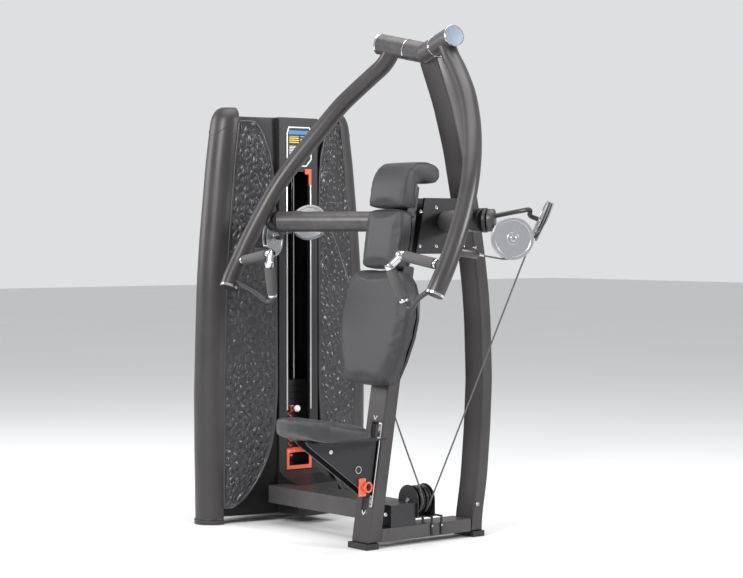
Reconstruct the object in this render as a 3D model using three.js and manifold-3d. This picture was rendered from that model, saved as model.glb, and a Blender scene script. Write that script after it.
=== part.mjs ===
// Seated converging press machine with a shrouded weight tower.
// Millimetres, +Z up. The origin is the middle of the front foot's underside, the
// user faces -Y, the user's left is +X and the weight tower stands at -X.
import * as THREE from 'three';
import { mergeVertices } from 'three/addons/utils/BufferGeometryUtils.js';
import Module from 'manifold-3d';

const wasm = await Module();
wasm.setup();

// ---- driving dimensions ----
const GAP = 0.3;             // clearance between touching pieces
const PIVOT_GAP = 1;         // running clearance on axles and rods
const POST_W = 100;          // width of both posts and the base beam (X)
const POST_D = 52;           // depth of the seat post
const LEAN = 9.2 * Math.PI / 180;   // the seat post and backrest lean back
const FOOT_H = 22;           // foot plates and the beam's height over the floor
const FOOT_D = 58;           // foot plate depth (Y)
const FOOT_W = 112;          // foot plate width (X)
const BEAM_TOP = 70;
const SEAT_POST_LEN = 1000;  // along the lean
const REAR_FOOT_Y = 504;     // centre of the rear foot
const CROSS_Y = [88, 230];   // cross tube to the tower
const CROSS_Z = [83, 150];
const CROSS_END_X = -700;
const TUBE_R = 38;           // wing tubes and hub sleeves
const ARM_R = 31.5;          // swinging arm tubes
const GRIP_R = 18.5;
const ROD_R = 8;
const CABLE_R = 3;
const PULLEY_R = 71;
const PULLEY_W = 22;
const BASE_PULLEY_R = 52;
const BASE_PULLEY_W = 20;
const TOWER_X = -852;        // tower mid-plane
const TOWER_Y = 263.5;       // tower centre
const TOWER_HALF = 333.5;    // centre to nose-column centre
const COLUMN_R = 68;
const TOWER_H = 1607;
const VALLEY_H = 1572;
const SHROUD_HALF = 95;      // half width of the centre shroud
const SLOT_HALF = 54;        // half width of the slot in it
const SLOT_Z = [205, 1361];
const SHROUD_OUT = 117;      // mid-plane to the shroud's face
const SHEET = 10;            // shroud and shield thickness
const STACK_BOTTOM = 150;
const PLATE_H = 24.6;
const PLATES_RESTING = 11;
const PLATES_LIFTED = 5;
const ROD_SPREAD = 62;       // guide rods either side of the stack's centre
const GUIDE_R = 9;
const PIN_R = 5;
const SEAT_Z = 400;          // underside of the seat pad
const PAD_STANDOFF = 13;     // post face to the pads' backs
const PAD_T = 70;

// ---- materials ----
const paint = () => new THREE.MeshStandardMaterial({ color: 0x4d4a4c, roughness: 0.42, metalness: 0.35 });
const darkPaint = () => new THREE.MeshStandardMaterial({ color: 0x242426, roughness: 0.5, metalness: 0.3 });
const leather = () => new THREE.MeshStandardMaterial({ color: 0x3b3b40, roughness: 0.6, metalness: 0 });
const chrome = () => new THREE.MeshStandardMaterial({ color: 0xd9dade, roughness: 0.12, metalness: 1 });
const alloy = () => new THREE.MeshStandardMaterial({ color: 0xdfe3e8, roughness: 0.3, metalness: 0.9 });
const rubber = () => new THREE.MeshStandardMaterial({ color: 0x4b484a, roughness: 0.75, metalness: 0 });
const panel = () => new THREE.MeshStandardMaterial({ color: 0x2f3033, roughness: 0.3, metalness: 0.2 });
const orange = () => new THREE.MeshStandardMaterial({ color: 0xe8643c, roughness: 0.4, metalness: 0 });
const black = () => new THREE.MeshStandardMaterial({ color: 0x121214, roughness: 0.45, metalness: 0.1 });

// ---- helpers ----
const root = new THREE.Group();
const V = (x, y, z) => new THREE.Vector3(x, y, z);
const mirror = (side, x, y, z) => V(side * x, y, z);

function add(name, geometry, material, parent = root) {
  const mesh = new THREE.Mesh(geometry, material);
  mesh.name = name;
  parent.add(mesh);
  return mesh;
}
function bare(geometry) {
  const g = geometry.clone();
  g.deleteAttribute('normal');
  g.deleteAttribute('uv');
  return mergeVertices(g, 1e-4);
}
function solid(geometry) {
  const g = bare(geometry);
  return new wasm.Manifold(new wasm.Mesh({
    numProp: 3,
    vertProperties: new Float32Array(g.attributes.position.array),
    triVerts: new Uint32Array(g.index.array),
  }));
}
function toGeometry(manifold) {
  const m = manifold.getMesh();
  const g = new THREE.BufferGeometry();
  const flat = new Float32Array((m.vertProperties.length / m.numProp) * 3);
  for (let i = 0; i < flat.length / 3; i += 1) {
    for (let k = 0; k < 3; k += 1) flat[3 * i + k] = m.vertProperties[i * m.numProp + k];
  }
  g.setAttribute('position', new THREE.BufferAttribute(flat, 3));
  g.setIndex(new THREE.BufferAttribute(new Uint32Array(m.triVerts), 1));
  g.computeVertexNormals();
  return g;
}
const join = (first, ...others) => others.reduce((sum, g) => sum.add(solid(g)), solid(first));
const cut = (from, ...tools) => tools.reduce((sum, g) => sum.subtract(solid(g)), from);

function box(x0, x1, y0, y1, z0, z1) {
  return new THREE.BoxGeometry(x1 - x0, y1 - y0, z1 - z0)
    .translate((x0 + x1) / 2, (y0 + y1) / 2, (z0 + z1) / 2);
}
// cylinder from point a to point b
function rod(a, b, r, segments = 16, r2 = r) {
  const d = b.clone().sub(a);
  const g = new THREE.CylinderGeometry(r2, r, d.length(), segments);
  g.translate(0, d.length() / 2, 0);
  const q = new THREE.Quaternion().setFromUnitVectors(V(0, 1, 0), d.normalize());
  return g.applyQuaternion(q).translate(a.x, a.y, a.z);
}
function disc(centre, axis, r, width, segments = 24) {
  const half = axis.clone().normalize().multiplyScalar(width / 2);
  return rod(centre.clone().sub(half), centre.clone().add(half), r, segments);
}
// profile in the Y-Z plane, run along X from x0 to x1
function profileYZ(points, x0, x1) {
  const shape = new THREE.Shape(points.map(([y, z]) => new THREE.Vector2(y, z)));
  const g = new THREE.ExtrudeGeometry(shape, { depth: x1 - x0, bevelEnabled: false });
  return g.applyMatrix4(new THREE.Matrix4().set(0, 0, 1, x0, 1, 0, 0, 0, 0, 1, 0, 0, 0, 0, 0, 1));
}
// outline in the X-Z plane, run along Y from y0 to y1
function profileXZ(points, y0, y1) {
  const shape = new THREE.Shape(points.map(([x, z]) => new THREE.Vector2(x, z)));
  const g = new THREE.ExtrudeGeometry(shape, { depth: y1 - y0, bevelEnabled: false });
  return g.applyMatrix4(new THREE.Matrix4().set(1, 0, 0, 0, 0, 0, -1, y1, 0, 1, 0, 0, 0, 0, 0, 1));
}
// round tube along a smooth path
function tube(points, r, steps, segments = 16) {
  const circle = new THREE.Shape();
  for (let i = 0; i < segments; i += 1) {
    const a = 2 * Math.PI * i / segments;
    if (i === 0) circle.moveTo(r, 0); else circle.lineTo(r * Math.cos(a), r * Math.sin(a));
  }
  circle.closePath();
  const path = new THREE.CatmullRomCurve3(points, false, 'centripetal');
  return new THREE.ExtrudeGeometry(circle, { steps, bevelEnabled: false, extrudePath: path });
}
// closed skin over a stack of convex rings, bottom ring first, each ring anticlockwise
function loft(rings) {
  const n = rings[0].length;
  const points = rings.flat();
  const index = [];
  for (let k = 0; k + 1 < rings.length; k += 1) {
    for (let i = 0; i < n; i += 1) {
      const a = k * n + i;
      const b = k * n + (i + 1) % n;
      index.push(a, b, b + n, a, b + n, a + n);
    }
  }
  const contour = (ring) => ring.map((p) => new THREE.Vector2(p.x, p.y));
  for (const [k, flip] of [[0, true], [rings.length - 1, false]]) {
    for (const [a, b, c] of THREE.ShapeUtils.triangulateShape(contour(rings[k]), [])) {
      const t = flip ? [a, c, b] : [a, b, c];
      index.push(...t.map((i) => i + k * n));
    }
  }
  const g = new THREE.BufferGeometry();
  g.setAttribute('position', new THREE.Float32BufferAttribute(points.flatMap((p) => [p.x, p.y, p.z]), 3));
  g.setIndex(index);
  g.computeVertexNormals();
  return g;
}
function interpolate(table, x) {
  const i = Math.min(Math.max(table.findIndex(([t]) => t >= x), 1), table.length - 1);
  const [[x0, y0], [x1, y1]] = [table[i - 1], table[i]];
  return y0 + (y1 - y0) * Math.min(Math.max((x - x0) / (x1 - x0), 0), 1);
}

// ---- base ----
const HALF_W = POST_W / 2;
add('seat_post_foot', box(-FOOT_W / 2, FOOT_W / 2, -FOOT_D / 2, FOOT_D / 2, 0, FOOT_H - GAP), darkPaint());
add('rear_post_foot', box(-FOOT_W / 2, FOOT_W / 2, REAR_FOOT_Y - FOOT_D / 2, REAR_FOOT_Y + FOOT_D / 2,
  0, FOOT_H - GAP), darkPaint());

// the leaning group: y = 0 is the seat post's front face, z runs up along the post
const leaning = new THREE.Group();
leaning.position.set(0, -16, FOOT_H);
leaning.rotation.x = -LEAN;
root.add(leaning);
leaning.updateMatrixWorld(true);
const lean = (x, y, z) => V(x, y, z).applyMatrix4(leaning.matrixWorld);

const seatPostFace = (z) => -16 + Math.tan(LEAN) * (z - FOOT_H);
const seatPostBack = (z) => seatPostFace(z) + POST_D / Math.cos(LEAN);
const postTop = [lean(0, 0, SEAT_POST_LEN), lean(0, POST_D, SEAT_POST_LEN)];
const CHANNEL = { half: 16, depth: 12, z0: 110, z1: 430 };
const seatPost = solid(profileYZ([
  [seatPostFace(FOOT_H), FOOT_H], [seatPostBack(FOOT_H), FOOT_H],
  [postTop[1].y, postTop[1].z], [postTop[0].y, postTop[0].z],
], -HALF_W, HALF_W));
const channelBox = box(-CHANNEL.half, CHANNEL.half, -5, CHANNEL.depth, CHANNEL.z0, CHANNEL.z1);
channelBox.applyMatrix4(leaning.matrixWorld);
add('seat_post', toGeometry(cut(seatPost, channelBox)), paint());

// hub axis at the user's left; the right side mirrors it
const HUB_IN = V(77, 275, 1791);
const HUB_OUT = V(209, 245, 1820);
const HUB_DIR = HUB_OUT.clone().sub(HUB_IN).normalize();
const hubAt = (side, t) => {
  const p = HUB_IN.clone().addScaledVector(HUB_DIR, t);
  return V(side * p.x, p.y, p.z);
};
const HUB_LEN = HUB_OUT.distanceTo(HUB_IN);
const HUB_MID_T = -HUB_IN.x / HUB_DIR.x;

// bowed rear post: front and rear faces as Y against Z
const REAR_FRONT = [[FOOT_H, 474], [70, 476], [211, 500], [395, 516], [580, 525], [800, 517], [912, 507],
  [1030, 490], [1200, 460], [1426, 413], [1589, 364], [1730, 305], [1760, 292]];
const REAR_DEPTH = 52;
const rearPost = solid(profileYZ([
  ...REAR_FRONT.map(([z, y]) => [y, z]),
  ...REAR_FRONT.slice().reverse().map(([z, y]) => [y + REAR_DEPTH * (z > 1500 ? 1.12 : 1), z]),
].reverse(), -HALF_W, HALF_W));
const hubRelief = [1, -1].map((side) => rod(hubAt(side, HUB_MID_T - 6), hubAt(side, HUB_LEN), TUBE_R + 1, 20));
add('rear_post', toGeometry(cut(rearPost, ...hubRelief)), paint());
const hubBlock = join(
  rod(hubAt(1, HUB_MID_T - 4), hubAt(1, -GAP * 2), TUBE_R, 20),
  rod(hubAt(-1, HUB_MID_T - 4), hubAt(-1, -GAP * 2), TUBE_R, 20),
  rod(hubAt(1, HUB_MID_T), hubAt(1, HUB_LEN - 12), 16, 12),
  rod(hubAt(-1, HUB_MID_T), hubAt(-1, HUB_LEN - 12), 16, 12),
);
add('hub_block', toGeometry(hubBlock), paint());

add('base_beam', profileYZ([
  [seatPostBack(FOOT_H) + GAP, FOOT_H + GAP], [interpolate(REAR_FRONT, FOOT_H) - 2, FOOT_H + GAP],
  [interpolate(REAR_FRONT, FOOT_H) - 2, BEAM_TOP], [seatPostBack(BEAM_TOP) + GAP, BEAM_TOP],
], -HALF_W, HALF_W), paint());
add('cross_tube', box(CROSS_END_X, -HALF_W - GAP, CROSS_Y[0], CROSS_Y[1], CROSS_Z[0], CROSS_Z[1]), paint());
// dark end block of the cross tube, over the beam
const SADDLE_BACK = 203;
add('cross_saddle', box(-HALF_W, HALF_W - 1, CROSS_Y[0], SADDLE_BACK, BEAM_TOP + GAP, CROSS_Z[1]), darkPaint());

// double pulley over the beam where the cables turn into the frame
const BASE_PULLEY = V(3, 249, 155);
const BASE_SPACING = 30;
const CHEEK = BASE_PULLEY_R + 4;
const CHEEK_FRONT = SADDLE_BACK + 2;
const CHEEK_BACK = BASE_PULLEY.y + BASE_SPACING / 2 + BASE_PULLEY_W / 2 + 9;
const SHELF = BASE_PULLEY.z - BASE_PULLEY_R - 6;
const STRAPS = [276, 322];
const STRAP_LOW = 27;
const cheek = (y) => join(
  disc(V(BASE_PULLEY.x, y + 2, BASE_PULLEY.z), V(0, 1, 0), CHEEK, 4, 28),
  box(BASE_PULLEY.x - CHEEK, BASE_PULLEY.x + CHEEK, y, y + 4, SHELF, BASE_PULLEY.z),
);
const strap = (y) => cut(
  solid(box(-HALF_W - GAP - 5, HALF_W + GAP + 5, y - 4, y + 4, STRAP_LOW, SHELF)),
  box(-HALF_W - GAP, HALF_W + GAP, y - 5, y + 5, STRAP_LOW - 1, SHELF - 6),
);
const tubeRoom = box(-400, -HALF_W - GAP + 3, CROSS_Y[0] - 1, CROSS_Y[1] + 1, BEAM_TOP - 1, CROSS_Z[1] + 1);
const baseBracket = cut([
  cheek(CHEEK_BACK), strap(STRAPS[0]), strap(STRAPS[1]),
  solid(rod(V(BASE_PULLEY.x, CHEEK_FRONT, BASE_PULLEY.z), V(BASE_PULLEY.x, CHEEK_BACK, BASE_PULLEY.z), 7, 12)),
  solid(box(-30, 30, CHEEK_FRONT, STRAPS[1] + 4, SHELF - 6, SHELF)),
].reduce((sum, g) => sum.add(g), cheek(CHEEK_FRONT)), tubeRoom);
add('base_pulley_bracket', toGeometry(baseBracket), darkPaint());

// grooved pulley, as a lathe about its own axis with a bore
function pulley(name, centre, axis, r, width, bore, material) {
  const lip = width * 0.18;
  const groove = CABLE_R * 2.4;
  const profile = [
    [bore, -width / 2], [r, -width / 2], [r, -width / 2 + lip], [r - groove, -CABLE_R - 0.8],
    [r - groove, CABLE_R + 0.8], [r, width / 2 - lip], [r, width / 2], [bore, width / 2], [bore, -width / 2],
  ].map(([x, y]) => new THREE.Vector2(x, y));
  const mesh = add(name, bare(new THREE.LatheGeometry(profile, 20)), material);
  mesh.geometry.computeVertexNormals();
  mesh.quaternion.setFromUnitVectors(V(0, 1, 0), axis.clone().normalize());
  mesh.position.copy(centre);
}
[['left', 1], ['right', -1]].forEach(([name, side]) => {
  pulley(`base_pulley_${name}`, V(BASE_PULLEY.x, BASE_PULLEY.y + side * BASE_SPACING / 2, BASE_PULLEY.z),
    V(0, 1, 0), BASE_PULLEY_R, BASE_PULLEY_W, 7 + PIVOT_GAP, black());
});

// ---- backrest ----
const RAIL = { half: 34, z0: SEAT_POST_LEN + GAP, z1: 1290 };
add('backrest_rail', box(-RAIL.half, RAIL.half, 0, 44, RAIL.z0, RAIL.z1), paint(), leaning);
const pad = (name, outline, z0, z1, back = -PAD_STANDOFF) => {
  // outline: rows of [share of height, half width]; the front is crowned by the bevel
  const pts = [...outline.map(([t, w]) => [w, z0 + t * (z1 - z0)]),
    ...outline.slice().reverse().map(([t, w]) => [-w, z0 + t * (z1 - z0)])];
  const shape = new THREE.Shape(pts.map(([x, z]) => new THREE.Vector2(x, z)));
  const g = new THREE.ExtrudeGeometry(shape, {
    depth: PAD_T - 24, bevelEnabled: true, bevelSize: 12, bevelOffset: -12, bevelThickness: 12, bevelSegments: 2,
  });
  g.applyMatrix4(new THREE.Matrix4().set(1, 0, 0, 0, 0, 0, -1, back - 12, 0, 1, 0, 0, 0, 0, 0, 1));
  add(name, g, leather(), leaning);
};
pad('lower_back_pad', [[0, 112], [0.03, 128], [0.2, 158], [0.42, 184], [0.6, 192], [0.78, 184], [0.92, 156],
  [0.98, 132], [1, 118]], 562, 972);
pad('upper_back_pad', [[0, 88], [0.04, 98], [0.5, 104], [0.96, 98], [1, 90]], 978, 1190);
// headrest: a roll that turns back over the top
const headProfile = [[-PAD_STANDOFF, 1196], [-PAD_STANDOFF - 62, 1196], [-PAD_STANDOFF - 70, 1206],
  [-PAD_STANDOFF - 68, 1290], [-PAD_STANDOFF - 52, 1338], [-PAD_STANDOFF - 22, 1366], [20, 1378],
  [62, 1372], [84, 1354], [88, 1326], [70, 1306], [44, 1300], [10, 1302], [-PAD_STANDOFF, 1296]];
add('headrest_pad', profileYZ(headProfile.slice().reverse(), -98, 98), leather(), leaning);
add('slide_rail', box(30, 44, -5 - GAP, -GAP, 130, 430), chrome(), leaning);

// plates from the backrest to the rear post, either side of the median plane
[['left', 1], ['right', -1]].forEach(([name, side]) => {
  const x = [side * 36, side * 46].sort((a, b) => a - b);
  const back = (z) => interpolate(REAR_FRONT, z) - GAP;
  add(`mount_plate_${name}`, profileYZ([
    [seatPostBack(1047) + 2, 1047], [back(1047), 1047], [back(1100), 1100], [back(1249), 1249],
    [248, 1249], [232, 1160],
  ], ...x), darkPaint());
});

// ---- wing tubes and pulley heads ----
const WING_Z = 1165;
const WING_ROOT = [46, 352];
const WING_END = [560, 44];
const HEAD_DIR = V(0.78, 0.626, 0).normalize();
const HEAD_AT = V(592, 50, WING_Z);
const HEAD_LEN = 30;
// the lead pulley keeps clear of the head, whatever their radii
const P1_AXIS = V(0.88, -0.475, 0).normalize();
const P1_OFF = V(0.2992, 0.5541, -0.7768);
const P1 = V(640.4, 33.6, 1188.6).addScaledVector(P1_OFF, PULLEY_R + TUBE_R);
const P2 = V(650, 251, 1163);
const P2_AXIS = V(0.573, 0.71, -0.41).normalize();
const mirrored = (side, v) => V(side * v.x, v.y, v.z);
const along = (side, base, dir, t) => mirrored(side, base.clone().addScaledVector(dir, t));
[['left', 1], ['right', -1]].forEach(([name, side]) => {
  const wing = join(
    rod(mirror(side, WING_ROOT[0] + GAP + 22, WING_ROOT[1] - 13, WING_Z),
      mirror(side, WING_END[0], WING_END[1], WING_Z), TUBE_R, 24),
    rod(mirror(side, 545, 44, WING_Z), mirror(side, 640, 44, WING_Z), TUBE_R + 3, 24),
    rod(mirror(side, WING_ROOT[0] + GAP, WING_ROOT[1] + 12, WING_Z),
      mirror(side, WING_ROOT[0] + 40, WING_ROOT[1] - 6, WING_Z), TUBE_R, 24),
  );
  const innerHalf = box(-300, WING_ROOT[0] + GAP, -200, 600, 900, 1400);
  if (side < 0) innerHalf.translate(300 - (WING_ROOT[0] + GAP), 0, 0);
  // trim behind the joint plane of the pulley head
  const plane = new THREE.BoxGeometry(400, 400, 400).translate(200, 0, 0)
    .applyQuaternion(new THREE.Quaternion().setFromUnitVectors(V(1, 0, 0), mirrored(side, HEAD_DIR)));
  const at = mirrored(side, HEAD_AT);
  plane.translate(at.x, at.y, at.z);
  add(`wing_tube_${name}`, toGeometry(cut(wing, innerHalf, plane)), paint());
  const headEnd = along(side, HEAD_AT, HEAD_DIR, HEAD_LEN);
  const p1In = along(side, P1, P1_AXIS, -PULLEY_W / 2 - 1.5);
  const p2In = along(side, P2, P2_AXIS, -PULLEY_W / 2 - 1.5);
  const head = join(
    rod(along(side, HEAD_AT, HEAD_DIR, GAP * 2), headEnd, TUBE_R, 24),
    tube([along(side, HEAD_AT, HEAD_DIR, HEAD_LEN - 14).add(V(0, 0, 12)), mirror(side, 652, 150, P1.z + PULLEY_R + 21),
      mirror(side, 640, 205, P1.z + PULLEY_R + 24), along(side, P2, P2_AXIS, -44),
      along(side, P2, P2_AXIS, -20), p2In], ROD_R, 12, 8),
    tube([mirror(side, 608, 68, WING_Z - 26), mirror(side, 616, 92, 1116), along(side, P1, P1_AXIS, -34),
      along(side, P1, P1_AXIS, -20), p1In], ROD_R, 10, 8),
    rod(p1In.clone().lerp(mirrored(side, P1), -0.2), along(side, P1, P1_AXIS, PULLEY_W / 2 + 6), 7, 12),
    rod(p2In.clone().lerp(mirrored(side, P2), -0.2), along(side, P2, P2_AXIS, PULLEY_W / 2 + 6), 7, 12),
  );
  add(`pulley_head_${name}`, toGeometry(head), paint());
  pulley(`lead_pulley_${name}`, mirrored(side, P1), mirrored(side, P1_AXIS), PULLEY_R, PULLEY_W,
    7 + PIVOT_GAP, alloy());
  pulley(`drop_pulley_${name}`, mirrored(side, P2), mirrored(side, P2_AXIS), PULLEY_R, PULLEY_W,
    7 + PIVOT_GAP, alloy());
});

// ---- swinging arms ----
const ARM_PATH = [[143, 260, 1805], [186, 250, 1746], [241, 230, 1700], [299, 204, 1650], [352, 178, 1600],
  [430, 130, 1500], [495, 76, 1400], [543, 22, 1300], [571, -28, 1200], [587, -80, 1100], [592, -126, 1010],
  [592, -156, 956], [588, -173, 919]];
const GRIP_H = [V(364, -135, 1049), V(552, -131, 1020)];
const GRIP_V = [V(343, -164, 1015), V(375, -125, 893)];
const ROD_BEND = V(410, -123, 871);
const LUG = [V(589, -95, 1066), V(591, 8, 1053)];
const stub = (a, b, t) => a.clone().lerp(b, t);
[['left', 1], ['right', -1]].forEach(([name, side]) => {
  const m = (v) => mirrored(side, v);
  const arm = join(
    tube(ARM_PATH.map(([x, y, z]) => mirror(side, x, y, z)), ARM_R, 18, 16),
    rod(hubAt(side, 0), hubAt(side, HUB_LEN), TUBE_R, 20),
    rod(m(LUG[0]), m(LUG[1]), 17, 16),
    rod(m(stub(...GRIP_H, 0.98)), m(V(592, -131, 1014)), 11, 12),
    rod(m(stub(...GRIP_H, 0.01)), m(stub(...GRIP_H, 0.99)), 11, 12),
    tube([m(stub(...GRIP_V, 1)), m(V(384, -122, 878)), m(ROD_BEND), m(V(470, -139, 906)), m(V(590, -158, 952))],
      ROD_R, 10, 8),
    rod(m(stub(...GRIP_V, 0.01)), m(stub(...GRIP_V, 1)), 11, 12),
    rod(m(V(364, -135, 1049)), m(V(343, -164, 1015)), 11, 12),
  );
  const bore = rod(hubAt(side, -20), hubAt(side, HUB_LEN - 10), 16 + PIVOT_GAP, 16);
  add(`arm_${name}`, toGeometry(cut(arm, bore)), paint());
  const grips = [['rear', GRIP_H, 0.16, 0.95], ['front', GRIP_V, 0.14, 0.93]];
  grips.forEach(([label, [a, b], t0, t1]) => {
    const sleeve = cut(solid(rod(m(stub(a, b, t0)), m(stub(a, b, t1)), GRIP_R, 14)),
      rod(m(stub(a, b, t0 - 0.1)), m(stub(a, b, t1 + 0.1)), 11 + GAP, 14));
    add(`grip_${label}_${name}`, toGeometry(sleeve), rubber());
  });
});

// ---- cables ----
const CHORD = 1.0366;        // lifts a faceted cable clear of the groove it turns in
[['left', 1], ['right', -1]].forEach(([name, side]) => {
  const m = (v) => mirrored(side, v);
  const rim = PULLEY_R * CHORD - CABLE_R * 1.4;
  const e1 = V(0, 0, 1).cross(P1_AXIS).normalize();
  const up = V(0, 0, 1);
  const around = (t) => P1.clone().addScaledVector(e1, rim * Math.sin(t)).addScaledVector(up, -rim * Math.cos(t));
  // the drop runs to the base pulley's +X side, wraps under it and leaves towards the tower
  const base = V(side * BASE_PULLEY.x, BASE_PULLEY.y + side * BASE_SPACING / 2, BASE_PULLEY.z);
  const baseRim = BASE_PULLEY_R * CHORD - CABLE_R * 1.4 + 1;
  const run = V(base.x - side * P2.x, 0, base.z - P2.z).normalize();
  const first = Math.atan2(run.x, -run.z);
  const bq = (t) => V(side * (BASE_PULLEY.x + baseRim * Math.cos(t)), base.y, base.z + baseRim * Math.sin(t));
  const target = bq(first);
  const down = target.clone().sub(P2).normalize();
  down.addScaledVector(P2_AXIS, -down.dot(P2_AXIS)).normalize();
  const w = P2_AXIS.clone().cross(down).normalize();
  const over = (t) => P2.clone().addScaledVector(w, -rim * Math.cos(t)).addScaledVector(down, -rim * Math.sin(t));
  const entry = around(0).addScaledVector(e1, -36);
  const leadStart = LUG[1].clone().add(V(2, 10, -3));
  const lead = [leadStart, stub(leadStart, entry, 0.5), entry];
  add(`cable_lead_${name}`, tube(lead.map(m), CABLE_R, 4, 6), black());
  const drop = [entry.clone().addScaledVector(e1, 2), ...[0, 0.3, 0.6, 0.9, 1.2, 1.5, 1.8].map(around),
    over(0.1).addScaledVector(down, 14).addScaledVector(w, -7), ...[0.45, 0.8, 1.15, 1.5, 1.85, 2.2, 2.6, 3].map(over),
    over(3.1).addScaledVector(down, 60),
    stub(over(3.1), bq(first), 0.8), ...[0, 0.25, 0.5, 0.75, 1].map((t) => bq(first + (-Math.PI / 2 - first) * t)),
    bq(-Math.PI / 2).add(V(-side * 36, 0, 0))];
  add(`cable_${name}`, tube(drop.map(m), CABLE_R, 96, 6), black());
});

// ---- seat ----
// the seat and its carriage ride on the seat post's leaning front face; the lever hangs at the tower's side
const LEVER_AT = V(-50, -51, 287);
const BR = { x: 30, t: 8 };
const bracketProfile = [[-279, SEAT_Z - 1], [-270, SEAT_Z - 14], [-6, 192], [seatPostFace(192) - 9, 192],
  [seatPostFace(SEAT_Z - 1) - 9, SEAT_Z - 1]];
const brace = (s) => profileYZ(bracketProfile, s * BR.x - BR.t / 2, s * BR.x + BR.t / 2);
const carriage = box(-42, 26, -9, -1, 168, 376).applyMatrix4(leaning.matrixWorld);
const tongue = box(-12, 12, -3, 8, 180, 360).applyMatrix4(leaning.matrixWorld);
const seatPlate = box(-90, 90, -250, 34, SEAT_Z - 8, SEAT_Z - 1);
add('seat_bracket', toGeometry(join(brace(1), brace(-1), carriage, tongue, seatPlate,
  rod(V(36, LEVER_AT.y, LEVER_AT.z), V(LEVER_AT.x + 4, LEVER_AT.y, LEVER_AT.z), 13, 16))), darkPaint());
// wedge pad: thin and straight at the back, thick and rounded at the front
const seatOutline = [[128, -58], [150, -90], [158, -150], [156, -210], [140, -270], [104, -312], [56, -334],
  [0, -340]];
const ring = seatOutline.concat(seatOutline.slice(0, -1).reverse().map(([x, y]) => [-x, y])).reverse();
const seatLayer = (inset, height) => ring.map(([x, y]) => {
  const k = 1 - inset / 158;
  const yy = -200 + (y + 200) * (1 - inset / 142);
  return V(x * k, yy, height(yy));
});
const frontness = (y) => Math.min(Math.max((-58 - y) / 282, 0), 1);
const top = (y) => 440 + 49 * frontness(y);
const bottom = (y) => SEAT_Z + 26 * Math.max(frontness(y) - 0.8, 0) * 5 * 0.9;
add('seat_pad', loft([
  seatLayer(14, bottom), seatLayer(0, (y) => bottom(y) + 10), seatLayer(0, (y) => top(y) - 14),
  seatLayer(5, (y) => top(y) - 5), seatLayer(16, top),
]), leather());
const lever = join(
  disc(V(LEVER_AT.x - 2, LEVER_AT.y, LEVER_AT.z), V(1, 0, 0), 17, 7, 20),
  profileYZ([[-292, 356], [-262, 359], [-208, 355], [-172, 338], [-146, 312], [-118, 289], [-60, 284], [-56, 298],
    [-112, 303], [-135, 322], [-165, 352], [-205, 369], [-262, 373], [-292, 369]], LEVER_AT.x - 5.4,
  LEVER_AT.x + 1.4),
);
add('seat_lever', toGeometry(lever), orange());
// locking pin on the outer face of the left brace, drawn out sideways by its ring
const POP = V(BR.x + BR.t / 2, -34, 224);
add('pop_pin_plate', box(POP.x + GAP, POP.x + 6, POP.y - 16, POP.y + 15, POP.z - 32, POP.z + 32), orange());
const popPin = join(
  rod(V(POP.x + 6 + GAP, POP.y, POP.z), V(POP.x + 18, POP.y, POP.z), 7, 14),
  rod(V(POP.x + 14, POP.y, POP.z), V(POP.x + 14, POP.y + 8, POP.z), 4, 10),
  new THREE.TorusGeometry(14, 4, 6, 16).rotateY(Math.PI / 2).translate(POP.x + 14, POP.y + 20, POP.z),
);
add('pop_pin', toGeometry(popPin), orange());

// ---- weight tower ----
// the nose columns lean inwards with height
const INWARD = [[0, 0], [500, 0], [705, 6], [935, 14], [1089, 25], [1243, 39], [1396, 54], [1550, 74], [1607, 84]];
const NOSE = [...Array(9).keys()].map((i) => {
  const a = Math.PI * i / 8;
  return [COLUMN_R * Math.cos(a), COLUMN_R * Math.sin(a)];
});
const COLUMN_BACK = 12;
const EDGE = TOWER_HALF - COLUMN_BACK - 1;
const columnZ = [[0, 1], [18, 1], [19, 0.94], [250, 0.98], [500, 1], [820, 1], [1089, 0.99], [1243, 0.97],
  [1396, 0.96], [1550, 0.94], [1578, 0.86], [1595, 0.72], [TOWER_H, 0.45]];
[['front', -1], ['rear', 1]].forEach(([name, end]) => {
  const rings = columnZ.map(([z, k]) => {
    const y = TOWER_HALF - interpolate(INWARD, z);
    const nose = NOSE.map(([x, out]) => V(TOWER_X + x * k, TOWER_Y + end * (y + out * k), z));
    const back = [V(TOWER_X - COLUMN_R * k, TOWER_Y + end * (y - COLUMN_BACK), z),
      V(TOWER_X + COLUMN_R * k, TOWER_Y + end * (y - COLUMN_BACK), z)];
    const outline = nose.concat(back);
    return end > 0 ? outline : outline.reverse();
  });
  add(`tower_column_${name}`, loft(rings), paint());
});
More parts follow.
